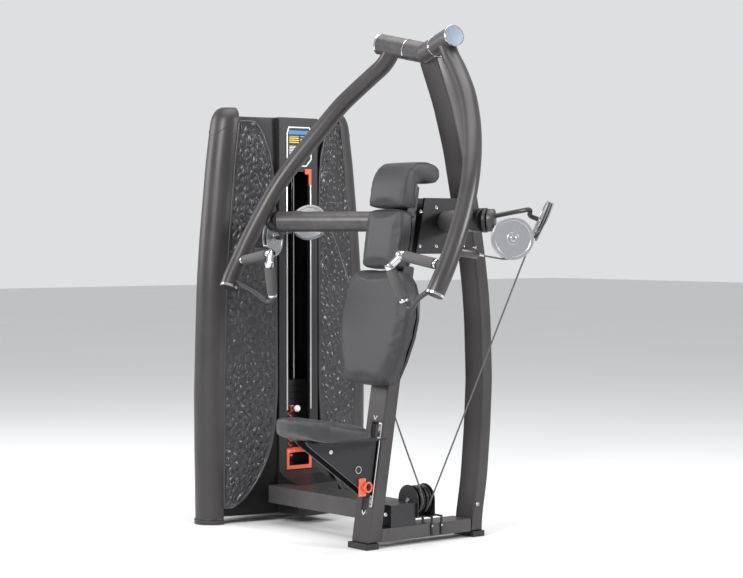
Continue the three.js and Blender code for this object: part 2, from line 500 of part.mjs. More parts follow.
// D-shaped shields: straight inner edge, outer edge along the column
const SHIELD_INNER = [[52, 118], [64, 138], [82, 169], [105, 196], [130, 216], [160, 238], [191, 256], [241, 280],
  [305, 300], [382, 313], [511, 322], [820, 322], [1020, 322], [1180, 322], [1341, 314], [1431, 301], [1507, 274],
  [1540, 254], [1564, 230], [1580, 205]];
const SHIELD_Z = SHIELD_INNER.map(([z]) => z);
const shieldEdge = (z) => EDGE - interpolate(INWARD, z) - GAP;
const SPAN = EDGE - SHROUD_HALF - 6;
[['user', 1], ['back', -1]].forEach(([face, out]) => {
  [['front', -1], ['rear', 1]].forEach(([name, end]) => {
    const rings = SHIELD_Z.map((z) => {
      const outer = shieldEdge(z);
      const inner = Math.min(outer - 26, TOWER_HALF - interpolate(SHIELD_INNER, z) + SHROUD_HALF - 2);
      const width = outer - inner;
      const steps = [0, 0.2, 0.4, 0.6, 0.8, 1];
      const skin = (t, lift) => V(TOWER_X + out * (COLUMN_R - SHEET + lift
        + (SHROUD_OUT - COLUMN_R) * Math.sin(t * Math.PI / 2) * Math.min(width / SPAN, 1)),
      TOWER_Y + end * (outer - t * width), z);
      const outline = steps.map((t) => skin(t, SHEET)).concat(steps.slice().reverse().map((t) => skin(t, 0)));
      return end * out > 0 ? outline.reverse() : outline;
    });
    add(`shield_${name}_${face}`, loft(rings), panel());
  });
});
// centre shroud: a deep channel with a slot, flaring at the floor to take the cross tube
const FLARE = [[VALLEY_H, SHROUD_OUT], [196, SHROUD_OUT], [178, SHROUD_OUT + 26], [162, SHROUD_OUT + 76],
  [151, 248], [30, 248]];
const half = SHROUD_HALF - 1;
const skinOutline = (inset) => [[TOWER_X + COLUMN_R - 8, VALLEY_H - inset],
  [TOWER_X + COLUMN_R - 8, 30 - (inset ? 5 : 0)],
  ...FLARE.slice().reverse().map(([z, x]) => [TOWER_X + x - inset,
    z === VALLEY_H ? z - inset : z - (inset && z < 60 ? 5 : 0)])];
const shroud = cut(
  solid(profileXZ(skinOutline(0), TOWER_Y - half, TOWER_Y + half)),
  profileXZ(skinOutline(SHEET).map(([x, z]) => [x === TOWER_X + COLUMN_R - 8 ? x - 5 : x, z]),
    TOWER_Y - half + SHEET, TOWER_Y + half - SHEET),
  box(TOWER_X + COLUMN_R, TOWER_X + 400, TOWER_Y - SLOT_HALF, TOWER_Y + SLOT_HALF, ...SLOT_Z),
  box(TOWER_X + 150, TOWER_X + 400, CROSS_Y[0] - 1, CROSS_Y[1] + 1, CROSS_Z[0] - 1, CROSS_Z[1] + 1),
);
add('shroud_user', toGeometry(shroud), darkPaint());
add('shroud_back', box(TOWER_X - SHROUD_OUT, TOWER_X - SHROUD_OUT + SHEET, TOWER_Y - half, TOWER_Y + half, 30,
  VALLEY_H), darkPaint());
const INNER_HALF = TOWER_HALF - COLUMN_BACK - 1;
add('tower_base', box(TOWER_X - 56, TOWER_X + 56, TOWER_Y - INNER_HALF, TOWER_Y + INNER_HALF, 30, 60), darkPaint());
const topHalf = INNER_HALF - interpolate(INWARD, VALLEY_H) - 1;
add('tower_top', toGeometry(cut(solid(box(TOWER_X - 57, TOWER_X + 57, TOWER_Y - topHalf, TOWER_Y + topHalf, 1554,
  VALLEY_H)), ...[-1, 1].map((s) => rod(V(TOWER_X, TOWER_Y + s * ROD_SPREAD, 1500),
  V(TOWER_X, TOWER_Y + s * ROD_SPREAD, 1562), GUIDE_R + GAP, 12)))), darkPaint());
add('placard', profileYZ([[TOWER_Y - 34, 1384], [TOWER_Y + 34, 1384], [TOWER_Y + 58, 1410],
  [TOWER_Y + 58, 1510], [TOWER_Y + 50, 1534], [TOWER_Y - 50, 1534], [TOWER_Y - 58, 1510], [TOWER_Y - 58, 1410]],
TOWER_X + SHROUD_OUT + GAP, TOWER_X + SHROUD_OUT + 4), black());
// coloured trims at the slot's ends
const trimX = [TOWER_X + SHROUD_OUT + GAP, TOWER_X + SHROUD_OUT + 4];
add('slot_trim_bottom', profileYZ([[TOWER_Y - 60, 197], [TOWER_Y + 60, 197], [TOWER_Y + 60, 279],
  [TOWER_Y + 49, 279], [TOWER_Y + 49, 212], [TOWER_Y - 49, 212], [TOWER_Y - 49, 279], [TOWER_Y - 60, 279]],
...trimX), orange());
add('slot_trim_top', profileYZ([[TOWER_Y + 30, 1352], [TOWER_Y + 48, 1352], [TOWER_Y + 48, 1310],
  [TOWER_Y + 60, 1310], [TOWER_Y + 60, 1372], [TOWER_Y + 30, 1372]], ...trimX), orange());

// ---- weight stack ----
const plates = (z0, count) => {
  const g = [];
  for (let i = 0; i < count; i += 1) {
    g.push(box(TOWER_X - 52, TOWER_X + 54, TOWER_Y - 88, TOWER_Y + 88, z0 + i * PLATE_H, z0 + (i + 1) * PLATE_H - 2));
  }
  g.push(box(TOWER_X - 46, TOWER_X + 48, TOWER_Y - 82, TOWER_Y + 82, z0 + 1, z0 + count * PLATE_H - 3));
  return g;
};
const rodHoles = [-1, 1].map((s) => rod(V(TOWER_X, TOWER_Y + s * ROD_SPREAD, 60 + GAP),
  V(TOWER_X, TOWER_Y + s * ROD_SPREAD, 1600), GUIDE_R + PIVOT_GAP, 12));
const liftBottom = STACK_BOTTOM + PLATES_RESTING * PLATE_H;
const pinZ = liftBottom + PLATE_H / 2;
add('stack_resting', toGeometry(cut(join(...plates(STACK_BOTTOM, PLATES_RESTING)), ...rodHoles,
  rod(V(TOWER_X, TOWER_Y, STACK_BOTTOM - 10), V(TOWER_X, TOWER_Y, liftBottom + 10), 15, 14))), darkPaint());
add('stack_bumper', toGeometry(cut(solid(box(TOWER_X - 50, TOWER_X + 50, TOWER_Y - 86, TOWER_Y + 86, 60 + GAP,
  STACK_BOTTOM - GAP)), ...rodHoles, rod(V(TOWER_X, TOWER_Y, 58), V(TOWER_X, TOWER_Y, STACK_BOTTOM + 10), 15, 14))),
black());
add('stack_lifted', toGeometry(cut(
  join(...plates(liftBottom, PLATES_LIFTED),
    rod(V(TOWER_X, TOWER_Y, 90), V(TOWER_X, TOWER_Y, liftBottom + 60), 12, 14),
    rod(V(TOWER_X, TOWER_Y, liftBottom + 60), V(TOWER_X, TOWER_Y, liftBottom + PLATES_LIFTED * PLATE_H + 50), 14, 14)),
  ...rodHoles, rod(V(TOWER_X - 10, TOWER_Y, pinZ), V(TOWER_X + 80, TOWER_Y, pinZ), PIN_R + PIVOT_GAP, 12),
)), darkPaint());
[['front', -1], ['rear', 1]].forEach(([name, s]) => {
  add(`guide_rod_${name}`, rod(V(TOWER_X, TOWER_Y + s * ROD_SPREAD, 60 + 2 * GAP),
    V(TOWER_X, TOWER_Y + s * ROD_SPREAD, 1561), GUIDE_R, 12), chrome());
});
add('selector_pin', toGeometry(join(
  rod(V(TOWER_X - 4, TOWER_Y, pinZ), V(TOWER_X + 62, TOWER_Y, pinZ), PIN_R, 12),
  rod(V(TOWER_X + 58, TOWER_Y, pinZ), V(TOWER_X + 76, TOWER_Y, pinZ), 12, 16),
  rod(V(TOWER_X + 70, TOWER_Y, pinZ), V(TOWER_X + 104, TOWER_Y, pinZ), 7, 14),
  new THREE.SphereGeometry(13, 12, 8).translate(TOWER_X + 106, TOWER_Y, pinZ),
)), chrome());

export default root;
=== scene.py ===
"""Seated converging press with a shrouded weight tower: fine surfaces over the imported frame."""
import math

import bmesh
import bpy
from mathutils import Matrix, Vector, noise


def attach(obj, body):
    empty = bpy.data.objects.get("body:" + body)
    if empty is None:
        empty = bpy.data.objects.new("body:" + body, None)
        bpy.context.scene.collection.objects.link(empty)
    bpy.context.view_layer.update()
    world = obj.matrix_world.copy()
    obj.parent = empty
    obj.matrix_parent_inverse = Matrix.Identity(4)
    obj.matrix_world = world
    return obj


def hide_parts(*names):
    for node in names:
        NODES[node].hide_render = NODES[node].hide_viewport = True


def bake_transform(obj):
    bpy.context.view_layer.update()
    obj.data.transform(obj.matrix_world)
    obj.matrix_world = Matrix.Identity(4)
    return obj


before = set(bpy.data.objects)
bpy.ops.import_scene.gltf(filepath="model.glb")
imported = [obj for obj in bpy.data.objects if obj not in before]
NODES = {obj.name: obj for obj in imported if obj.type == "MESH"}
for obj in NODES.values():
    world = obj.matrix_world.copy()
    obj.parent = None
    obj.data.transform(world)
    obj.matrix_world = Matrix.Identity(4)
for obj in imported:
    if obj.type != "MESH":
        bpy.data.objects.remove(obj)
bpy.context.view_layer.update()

bl_info = {
    "name": "Seated Press Machine",
    "version": (1, 0, 0),
    "blender": (4, 5, 0),
    "location": "View3D > Sidebar > Press",
    "description": "Builds the finished surfaces of a seated press machine over its frame",
    "category": "Object",
}

SIDES = (("left", 1.0), ("right", -1.0))
LEAN = math.radians(9.2)
LEANING = Matrix.Translation((0, -0.016, 0.022)) @ Matrix.Rotation(-LEAN, 4, "X")
TOWER_X, TOWER_Y, TOWER_HALF = -0.852, 0.2635, 0.3335
COLUMN_R, SHROUD_OUT = 0.068, 0.117
SHROUD_HALF = 0.095
COLUMN_BACK = 0.013
SHIELD_SPAN = TOWER_HALF - COLUMN_BACK - SHROUD_HALF - 0.006
HUB_IN, HUB_OUT = Vector((0.077, 0.275, 1.791)), Vector((0.209, 0.245, 1.820))
ARM_PATH = [(0.143, 0.260, 1.805), (0.186, 0.250, 1.746), (0.241, 0.230, 1.700), (0.299, 0.204, 1.650),
            (0.352, 0.178, 1.600), (0.430, 0.130, 1.500), (0.495, 0.076, 1.400), (0.543, 0.022, 1.300),
            (0.571, -0.028, 1.200), (0.587, -0.080, 1.100), (0.592, -0.126, 1.010), (0.592, -0.156, 0.956),
            (0.588, -0.173, 0.919)]
GRIP_REAR = (Vector((0.364, -0.135, 1.049)), Vector((0.552, -0.131, 1.020)))
GRIP_FRONT = (Vector((0.343, -0.164, 1.015)), Vector((0.375, -0.125, 0.893)))
LUG = (Vector((0.589, -0.095, 1.066)), Vector((0.591, 0.008, 1.053)))
HEAD_DIR = Vector((0.78, 0.626, 0)).normalized()
HEAD_AT = Vector((0.592, 0.050, 1.165))
P1, P1_AXIS = Vector((0.673, 0.094, 1.104)), Vector((0.88, -0.475, 0)).normalized()
P2, P2_AXIS = Vector((0.650, 0.251, 1.163)), Vector((0.573, 0.71, -0.41)).normalized()
BASE_PULLEY = Vector((0.003, 0.249, 0.155))
INWARD = [(0, 0), (0.5, 0), (0.705, 0.006), (0.935, 0.014), (1.089, 0.025), (1.243, 0.039), (1.396, 0.054),
          (1.55, 0.074), (1.607, 0.084)]
COLUMN_SCALE = [(0, 1), (0.018, 1), (0.019, 0.94), (0.25, 0.98), (0.5, 1), (0.82, 1), (1.089, 0.99), (1.243, 0.97),
                (1.396, 0.96), (1.55, 0.94), (1.565, 0.91), (1.578, 0.86), (1.588, 0.79), (1.596, 0.7), (1.602, 0.6),
                (1.607, 0.45)]
SHIELD_INNER = [(0.052, 0.118), (0.064, 0.138), (0.082, 0.169), (0.105, 0.196), (0.130, 0.216), (0.160, 0.238),
                (0.191, 0.256), (0.241, 0.280), (0.305, 0.300), (0.382, 0.313), (0.511, 0.322), (1.18, 0.322),
                (1.341, 0.314), (1.431, 0.301), (1.507, 0.274), (1.540, 0.254), (1.564, 0.230), (1.580, 0.205)]
REAR_FRONT = [(0.022, 0.474), (0.07, 0.476), (0.211, 0.500), (0.395, 0.516), (0.58, 0.525), (0.8, 0.517),
              (0.912, 0.507), (1.03, 0.490), (1.2, 0.460), (1.426, 0.413), (1.589, 0.364), (1.73, 0.305),
              (1.76, 0.292)]


class PressSettings(bpy.types.PropertyGroup):
    """Colours and small sizes a maker would change."""
    paint: bpy.props.FloatVectorProperty(name="Frame paint", description="Colour of the frame's powder coat",
                                         subtype="COLOR", default=(0.050, 0.045, 0.045), min=0, max=1)
    dark_paint: bpy.props.FloatVectorProperty(name="Dark paint", description="Colour of plates and shrouds",
                                              subtype="COLOR", default=(0.018, 0.017, 0.019), min=0, max=1)
    hide: bpy.props.FloatVectorProperty(name="Upholstery", description="Colour of the pads' cover",
                                        subtype="COLOR", default=(0.021, 0.021, 0.025), min=0, max=1)
    accent: bpy.props.FloatVectorProperty(name="Accent", description="Colour of levers and trims",
                                          subtype="COLOR", default=(0.80, 0.115, 0.045), min=0, max=1)
    dimple: bpy.props.FloatProperty(name="Dimple size", description="Width of one hammered dimple",
                                    subtype="DISTANCE", unit="LENGTH", default=0.027, min=0.01, max=0.06)
    relief: bpy.props.FloatProperty(name="Relief", description="Depth of the hammered dimples",
                                    subtype="DISTANCE", unit="LENGTH", default=0.0062, min=0, max=0.01)
    swell: bpy.props.FloatProperty(name="Pad swell", description="Most that a pad's cover may rise",
                                   subtype="DISTANCE", unit="LENGTH", default=0.007, min=0, max=0.02)


def settings():
    return bpy.context.scene.press_machine


# ---- node groups ----
def group(name, inputs, outputs, build):
    tree = bpy.data.node_groups.get(name)
    if tree:
        return tree
    tree = bpy.data.node_groups.new(name, "ShaderNodeTree")
    for label, kind, default in inputs:
        socket = tree.interface.new_socket(name=label, in_out="INPUT", socket_type=kind)
        socket.default_value = default
    for label, kind in outputs:
        tree.interface.new_socket(name=label, in_out="OUTPUT", socket_type=kind)
    build(tree, tree.nodes.new("NodeGroupInput"), tree.nodes.new("NodeGroupOutput"))
    return tree


def node(tree, kind, **values):
    made = tree.nodes.new(kind)
    for key, value in values.items():
        if hasattr(made, key):
            setattr(made, key, value)
        else:
            made.inputs[key.replace("_", " ")].default_value = value
    return made


def build_coat(tree, given, out):
    """Orange-peel powder coat: mottled colour, rubbed roughness and a fine bump."""
    place = node(tree, "ShaderNodeTexCoord")
    broad = node(tree, "ShaderNodeTexNoise", Scale=6.0, Detail=3.0)
    fine = node(tree, "ShaderNodeTexNoise", Scale=900.0, Detail=2.0)
    for texture in (broad, fine):
        tree.links.new(place.outputs["Object"], texture.inputs["Vector"])
    tint = node(tree, "ShaderNodeMix", data_type="RGBA", blend_type="MULTIPLY")
    tree.links.new(given.outputs["Variation"], tint.inputs["Factor"])
    tree.links.new(given.outputs["Color"], tint.inputs["A"])
    ramp = node(tree, "ShaderNodeMapRange")
    ramp.inputs["From Min"].default_value, ramp.inputs["From Max"].default_value = 0.35, 0.65
    ramp.inputs["To Min"].default_value, ramp.inputs["To Max"].default_value = 0.72, 1.15
    tree.links.new(broad.outputs["Fac"], ramp.inputs["Value"])
    shade = node(tree, "ShaderNodeCombineColor")
    for name in ("Red", "Green", "Blue"):
        tree.links.new(ramp.outputs["Result"], shade.inputs[name])
    tree.links.new(shade.outputs["Color"], tint.inputs["B"])
    tree.links.new(tint.outputs["Result"], out.inputs["Color"])
    rough = node(tree, "ShaderNodeMapRange")
    tree.links.new(broad.outputs["Fac"], rough.inputs["Value"])
    tree.links.new(given.outputs["Smoothest"], rough.inputs["To Min"])
    tree.links.new(given.outputs["Roughest"], rough.inputs["To Max"])
    tree.links.new(rough.outputs["Result"], out.inputs["Roughness"])
    tree.links.new(fine.outputs["Fac"], out.inputs["Height"])


def build_hide(tree, given, out):
    """Leather grain: small irregular cells with soft creases."""
    place = node(tree, "ShaderNodeTexCoord")
    warp = node(tree, "ShaderNodeTexNoise", Scale=60.0, Detail=2.0)
    tree.links.new(place.outputs["Object"], warp.inputs["Vector"])
    push = node(tree, "ShaderNodeVectorMath", operation="MULTIPLY_ADD")
    push.inputs[1].default_value = (0.004, 0.004, 0.004)
    tree.links.new(warp.outputs["Color"], push.inputs[0])
    tree.links.new(place.outputs["Object"], push.inputs[2])
    cells = node(tree, "ShaderNodeTexVoronoi", feature="DISTANCE_TO_EDGE")
    tree.links.new(given.outputs["Scale"], cells.inputs["Scale"])
    tree.links.new(push.outputs["Vector"], cells.inputs["Vector"])
    ease = node(tree, "ShaderNodeMapRange", interpolation_type="SMOOTHSTEP")
    ease.inputs["From Max"].default_value = 0.22
    tree.links.new(cells.outputs["Distance"], ease.inputs["Value"])
    tree.links.new(ease.outputs["Result"], out.inputs["Height"])
    broad = node(tree, "ShaderNodeTexNoise", Scale=9.0, Detail=4.0)
    tree.links.new(place.outputs["Object"], broad.inputs["Vector"])
    tree.links.new(broad.outputs["Fac"], out.inputs["Wear"])


def build_wear(tree, given, out):
    """Mask that is 1 along handled edges, from the surface's own curvature."""
    geometry = node(tree, "ShaderNodeNewGeometry")
    spots = node(tree, "ShaderNodeTexNoise", Scale=40.0, Detail=4.0)
    place = node(tree, "ShaderNodeTexCoord")
    tree.links.new(place.outputs["Object"], spots.inputs["Vector"])
    edge = node(tree, "ShaderNodeMapRange")
    edge.inputs["From Min"].default_value, edge.inputs["From Max"].default_value = 0.53, 0.62
    tree.links.new(geometry.outputs["Pointiness"], edge.inputs["Value"])
    product = node(tree, "ShaderNodeMath", operation="MULTIPLY")
    tree.links.new(edge.outputs["Result"], product.inputs[0])
    tree.links.new(spots.outputs["Fac"], product.inputs[1])
    scaled = node(tree, "ShaderNodeMath", operation="MULTIPLY")
    tree.links.new(product.outputs["Value"], scaled.inputs[0])
    tree.links.new(given.outputs["Amount"], scaled.inputs[1])
    tree.links.new(scaled.outputs["Value"], out.inputs["Mask"])


def coat_group():
    return group("Powder coat", [("Color", "NodeSocketColor", (0.1, 0.1, 0.1, 1)),
                                 ("Variation", "NodeSocketFloat", 0.5),
                                 ("Smoothest", "NodeSocketFloat", 0.35), ("Roughest", "NodeSocketFloat", 0.5)],
                 [("Color", "NodeSocketColor"), ("Roughness", "NodeSocketFloat"), ("Height", "NodeSocketFloat")],
                 build_coat)


def hide_group():
    return group("Hide grain", [("Scale", "NodeSocketFloat", 420.0)],
                 [("Height", "NodeSocketFloat"), ("Wear", "NodeSocketFloat")], build_hide)


def wear_group():
    return group("Edge wear", [("Amount", "NodeSocketFloat", 0.5)], [("Mask", "NodeSocketFloat")], build_wear)


def use(tree, made, **values):
    placed = tree.nodes.new("ShaderNodeGroup")
    placed.node_tree = made
    for key, value in values.items():
        placed.inputs[key].default_value = value
    return placed


def material(name):
    made = bpy.data.materials.new(name)
    made.use_nodes = True
    return made, made.node_tree, made.node_tree.nodes["Principled BSDF"]


def coated(name, color, metallic, smoothest, roughest, bump=0.06, variation=0.5, wear=0.0, worn=(0.3, 0.3, 0.3)):
    """A painted, moulded or plated finish from the powder-coat group."""
    made, tree, shader = material(name)
    coat = use(tree, coat_group(), Color=(*color, 1), Variation=variation, Smoothest=smoothest, Roughest=roughest)
    shader.inputs["Metallic"].default_value = metallic
    tree.links.new(coat.outputs["Roughness"], shader.inputs["Roughness"])
    if wear:
        mask = use(tree, wear_group(), Amount=wear)
        blend = node(tree, "ShaderNodeMix", data_type="RGBA")
        tree.links.new(mask.outputs["Mask"], blend.inputs["Factor"])
        tree.links.new(coat.outputs["Color"], blend.inputs["A"])
        blend.inputs["B"].default_value = (*worn, 1)
        tree.links.new(blend.outputs["Result"], shader.inputs["Base Color"])
    else:
        tree.links.new(coat.outputs["Color"], shader.inputs["Base Color"])
    rise = node(tree, "ShaderNodeBump", Strength=bump, Distance=0.0004)
    tree.links.new(coat.outputs["Height"], rise.inputs["Height"])
    tree.links.new(rise.outputs["Normal"], shader.inputs["Normal"])
    return made, tree, shader


def leather():
    made, tree, shader = material("pad_leather")
    grain = use(tree, hide_group(), Scale=430.0)
    ramp = node(tree, "ShaderNodeMix", data_type="RGBA")
    base = settings().hide
    ramp.inputs["A"].default_value = (*[c * 0.8 for c in base], 1)
    ramp.inputs["B"].default_value = (*[c * 1.3 for c in base], 1)
    tree.links.new(grain.outputs["Wear"], ramp.inputs["Factor"])
    tree.links.new(ramp.outputs["Result"], shader.inputs["Base Color"])
    rough = node(tree, "ShaderNodeMapRange")
    rough.inputs["To Min"].default_value, rough.inputs["To Max"].default_value = 0.30, 0.46
    tree.links.new(grain.outputs["Wear"], rough.inputs["Value"])
    tree.links.new(rough.outputs["Result"], shader.inputs["Roughness"])
    rise = node(tree, "ShaderNodeBump", Strength=0.35, Distance=0.0006)
    tree.links.new(grain.outputs["Height"], rise.inputs["Height"])
    tree.links.new(rise.outputs["Normal"], shader.inputs["Normal"])
    shader.inputs["Specular IOR Level"].default_value = 0.45
    shader.inputs["Sheen Weight"].default_value = 0.04
    return made


def turned_alloy():
    """Turned disc faces: fine rings about each pulley are too small to place, so a fine brushed noise stands in."""
    made, tree, shader = material("turned_alloy")
    place = node(tree, "ShaderNodeTexCoord")
    brushed = node(tree, "ShaderNodeTexNoise", Scale=260.0, Detail=3.0)
    tree.links.new(place.outputs["Object"], brushed.inputs["Vector"])
    rough = node(tree, "ShaderNodeMapRange")
    rough.inputs["To Min"].default_value, rough.inputs["To Max"].default_value = 0.24, 0.42
    tree.links.new(brushed.outputs["Fac"], rough.inputs["Value"])
    tree.links.new(rough.outputs["Result"], shader.inputs["Roughness"])
    tint = node(tree, "ShaderNodeMix", data_type="RGBA")
    tint.inputs["A"].default_value, tint.inputs["B"].default_value = (0.36, 0.37, 0.385, 1), (0.50, 0.51, 0.53, 1)
    tree.links.new(brushed.outputs["Fac"], tint.inputs["Factor"])
    tree.links.new(tint.outputs["Result"], shader.inputs["Base Color"])
    shader.inputs["Metallic"].default_value = 0.9
    return made


def braided():
    """Braided cable cover: one set of distorted diagonal bands in object space stands in for the two crossing strands.
    """
    made, tree, shader = material("cable_braid")
    place = node(tree, "ShaderNodeTexCoord")
    bands = node(tree, "ShaderNodeTexWave", Scale=140.0, Distortion=1.5, Detail=1.0)
    bands.bands_direction = "DIAGONAL"
    tree.links.new(place.outputs["Object"], bands.inputs["Vector"])
    tint = node(tree, "ShaderNodeMix", data_type="RGBA")
    tint.inputs["A"].default_value, tint.inputs["B"].default_value = (0.02, 0.02, 0.022, 1), (0.16, 0.15, 0.145, 1)
    tree.links.new(bands.outputs["Fac"], tint.inputs["Factor"])
    tree.links.new(tint.outputs["Result"], shader.inputs["Base Color"])
    rise = node(tree, "ShaderNodeBump", Strength=0.5, Distance=0.0005)
    tree.links.new(bands.outputs["Fac"], rise.inputs["Height"])
    tree.links.new(rise.outputs["Normal"], shader.inputs["Normal"])
    shader.inputs["Roughness"].default_value = 0.45
    return made


def placard_face():
    """Instruction plate: coloured blocks on black, with no words."""
    made, tree, shader = material("placard_face")
    place = node(tree, "ShaderNodeTexCoord")
    split = node(tree, "ShaderNodeSeparateXYZ")
    tree.links.new(place.outputs["Object"], split.inputs["Vector"])

    def band(axis, low, high):
        over = node(tree, "ShaderNodeMath", operation="GREATER_THAN")
        under = node(tree, "ShaderNodeMath", operation="LESS_THAN")
        both = node(tree, "ShaderNodeMath", operation="MULTIPLY")
        over.inputs[1].default_value, under.inputs[1].default_value = low, high
        for test, slot in ((over, 0), (under, 1)):
            tree.links.new(split.outputs[axis], test.inputs[0])
            tree.links.new(test.outputs["Value"], both.inputs[slot])
        return both

    def block(y0, y1, z0, z1, stripes=0.0):
        both = node(tree, "ShaderNodeMath", operation="MULTIPLY")
        tree.links.new(band("Y", y0, y1).outputs["Value"], both.inputs[0])
        tree.links.new(band("Z", z0, z1).outputs["Value"], both.inputs[1])
        if not stripes:
            return both
        row = node(tree, "ShaderNodeMath", operation="PINGPONG")
        row.inputs[1].default_value = stripes
        gate = node(tree, "ShaderNodeMath", operation="GREATER_THAN")
        gate.inputs[1].default_value = stripes * 0.45
        lines = node(tree, "ShaderNodeMath", operation="MULTIPLY")
        tree.links.new(split.outputs["Z"], row.inputs[0])
        tree.links.new(row.outputs["Value"], gate.inputs[0])
        tree.links.new(gate.outputs["Value"], lines.inputs[0])
        tree.links.new(both.outputs["Value"], lines.inputs[1])
        return lines

    last = None
    rows = [((0.214, 0.312, 1.507, 1.522), (0.05, 0.22, 0.42, 1), 0.0),
            ((0.216, 0.262, 1.470, 1.500), (0.75, 0.55, 0.03, 1), 0.004),
            ((0.216, 0.250, 1.425, 1.462), (0.70, 0.70, 0.70, 1), 0.003),
            ((0.270, 0.308, 1.440, 1.500), (0.55, 0.56, 0.58, 1), 0.009),
            ((0.235, 0.292, 1.396, 1.412), (0.70, 0.52, 0.04, 1), 0.003)]
    for (y0, y1, z0, z1), color, stripes in rows:
        mix = node(tree, "ShaderNodeMix", data_type="RGBA")
        tree.links.new(block(y0, y1, z0, z1, stripes).outputs["Value"], mix.inputs["Factor"])
        if last:
            tree.links.new(last.outputs["Result"], mix.inputs["A"])
        else:
            mix.inputs["A"].default_value = (0.012, 0.013, 0.015, 1)
        mix.inputs["B"].default_value = color
        last = mix
    tree.links.new(last.outputs["Result"], shader.inputs["Base Color"])
    shader.inputs["Roughness"].default_value = 0.25
    return made


FINISH = {}


def make_finishes():
    s = settings()
    paint, dark, accent = tuple(s.paint), tuple(s.dark_paint), tuple(s.accent)
    FINISH["paint"] = coated("frame_paint", paint, 0.35, 0.30, 0.42, wear=0.35, worn=(0.28, 0.27, 0.27))[0]
    FINISH["dark"] = coated("dark_paint", dark, 0.3, 0.33, 0.46, wear=0.3, worn=(0.16, 0.16, 0.16))[0]
    FINISH["column"] = coated("column_paint", tuple(c * 0.85 for c in paint), 0.3, 0.33, 0.46)[0]
    FINISH["shield"] = coated("hammered_panel", (0.048, 0.047, 0.050), 0.40, 0.26, 0.34, bump=0.02)[0]
    FINISH["rim"] = coated("shield_rim", (0.060, 0.058, 0.061), 0.45, 0.26, 0.36)[0]
    FINISH["grip"] = coated("grip_rubber", (0.075, 0.070, 0.070), 0.0, 0.55, 0.72, bump=0.35)[0]
    FINISH["accent"] = coated("accent_plastic", accent, 0.0, 0.26, 0.38, variation=0.3)[0]
    FINISH["black"] = coated("black_plastic", (0.012, 0.012, 0.013), 0.0, 0.3, 0.5)[0]
    FINISH["white"] = coated("white_plastic", (0.80, 0.80, 0.78), 0.0, 0.25, 0.35, variation=0.2)[0]
    FINISH["chrome"] = coated("chrome_plate", (0.60, 0.61, 0.64), 1.0, 0.06, 0.14, bump=0.01, variation=0.15)[0]
    FINISH["steel"] = coated("zinc_steel", (0.50, 0.50, 0.52), 0.9, 0.25, 0.40, variation=0.4)[0]
    FINISH["cap"] = coated("cap_face", (0.22, 0.26, 0.32), 0.6, 0.22, 0.32, variation=0.2)[0]
    FINISH["plate"] = coated("weight_plate", (0.018, 0.018, 0.020), 0.4, 0.4, 0.55)[0]
    FINISH["alloy"] = turned_alloy()
    FINISH["leather"] = leather()
    FINISH["braid"] = braided()
    FINISH["placard"] = placard_face()


# ---- mesh helpers ----
def m(side, v):
    return Vector((side * v[0], v[1], v[2]))


def lean(x, y, z):
    return LEANING @ Vector((x, y, z))


def hub(side, t):
    direction = (HUB_OUT - HUB_IN).normalized()
    return m(side, HUB_IN + direction * t)


def table(rows, x):
    for (x0, y0), (x1, y1) in zip(rows, rows[1:]):
        if x <= x1:
            return y0 + (y1 - y0) * min(max((x - x0) / (x1 - x0), 0), 1)
    return rows[-1][1]


def eased(rows, x):
    """Smooth reading of a table, by averaging close readings."""
    return sum(table(rows, x + d) for d in (-0.03, -0.015, 0, 0.015, 0.03)) / 5


def smooth_path(points, count):
    """Even points on a centripetal curve through the given ones."""
    p = [Vector(q) for q in points]
    p = [p[0] * 2 - p[1]] + p + [p[-1] * 2 - p[-2]]
    dense = []
    for a, b, c, d in zip(p, p[1:], p[2:], p[3:]):
        t = [0.0]
        for u, v in ((a, b), (b, c), (c, d)):
            t.append(t[-1] + max((v - u).length, 1e-6) ** 0.5)
        for i in range(12):
            s = t[1] + (t[2] - t[1]) * i / 12
            a1 = a.lerp(b, (s - t[0]) / (t[1] - t[0]))
            a2 = b.lerp(c, (s - t[1]) / (t[2] - t[1]))
            a3 = c.lerp(d, (s - t[2]) / (t[3] - t[2]))
            b1 = a1.lerp(a2, (s - t[0]) / (t[2] - t[0]))
            b2 = a2.lerp(a3, (s - t[1]) / (t[3] - t[1]))
            dense.append(b1.lerp(b2, (s - t[1]) / (t[2] - t[1])))
    dense.append(p[-2])
    lengths = [0.0]
    for a, b in zip(dense, dense[1:]):
        lengths.append(lengths[-1] + (b - a).length)
    out, k = [], 0
    for i in range(count + 1):
        want = lengths[-1] * i / count
        while k + 2 < len(lengths) and lengths[k + 1] < want:
            k += 1
        span = max(lengths[k + 1] - lengths[k], 1e-9)
        out.append(dense[k].lerp(dense[k + 1], min(max((want - lengths[k]) / span, 0), 1)))
    return out


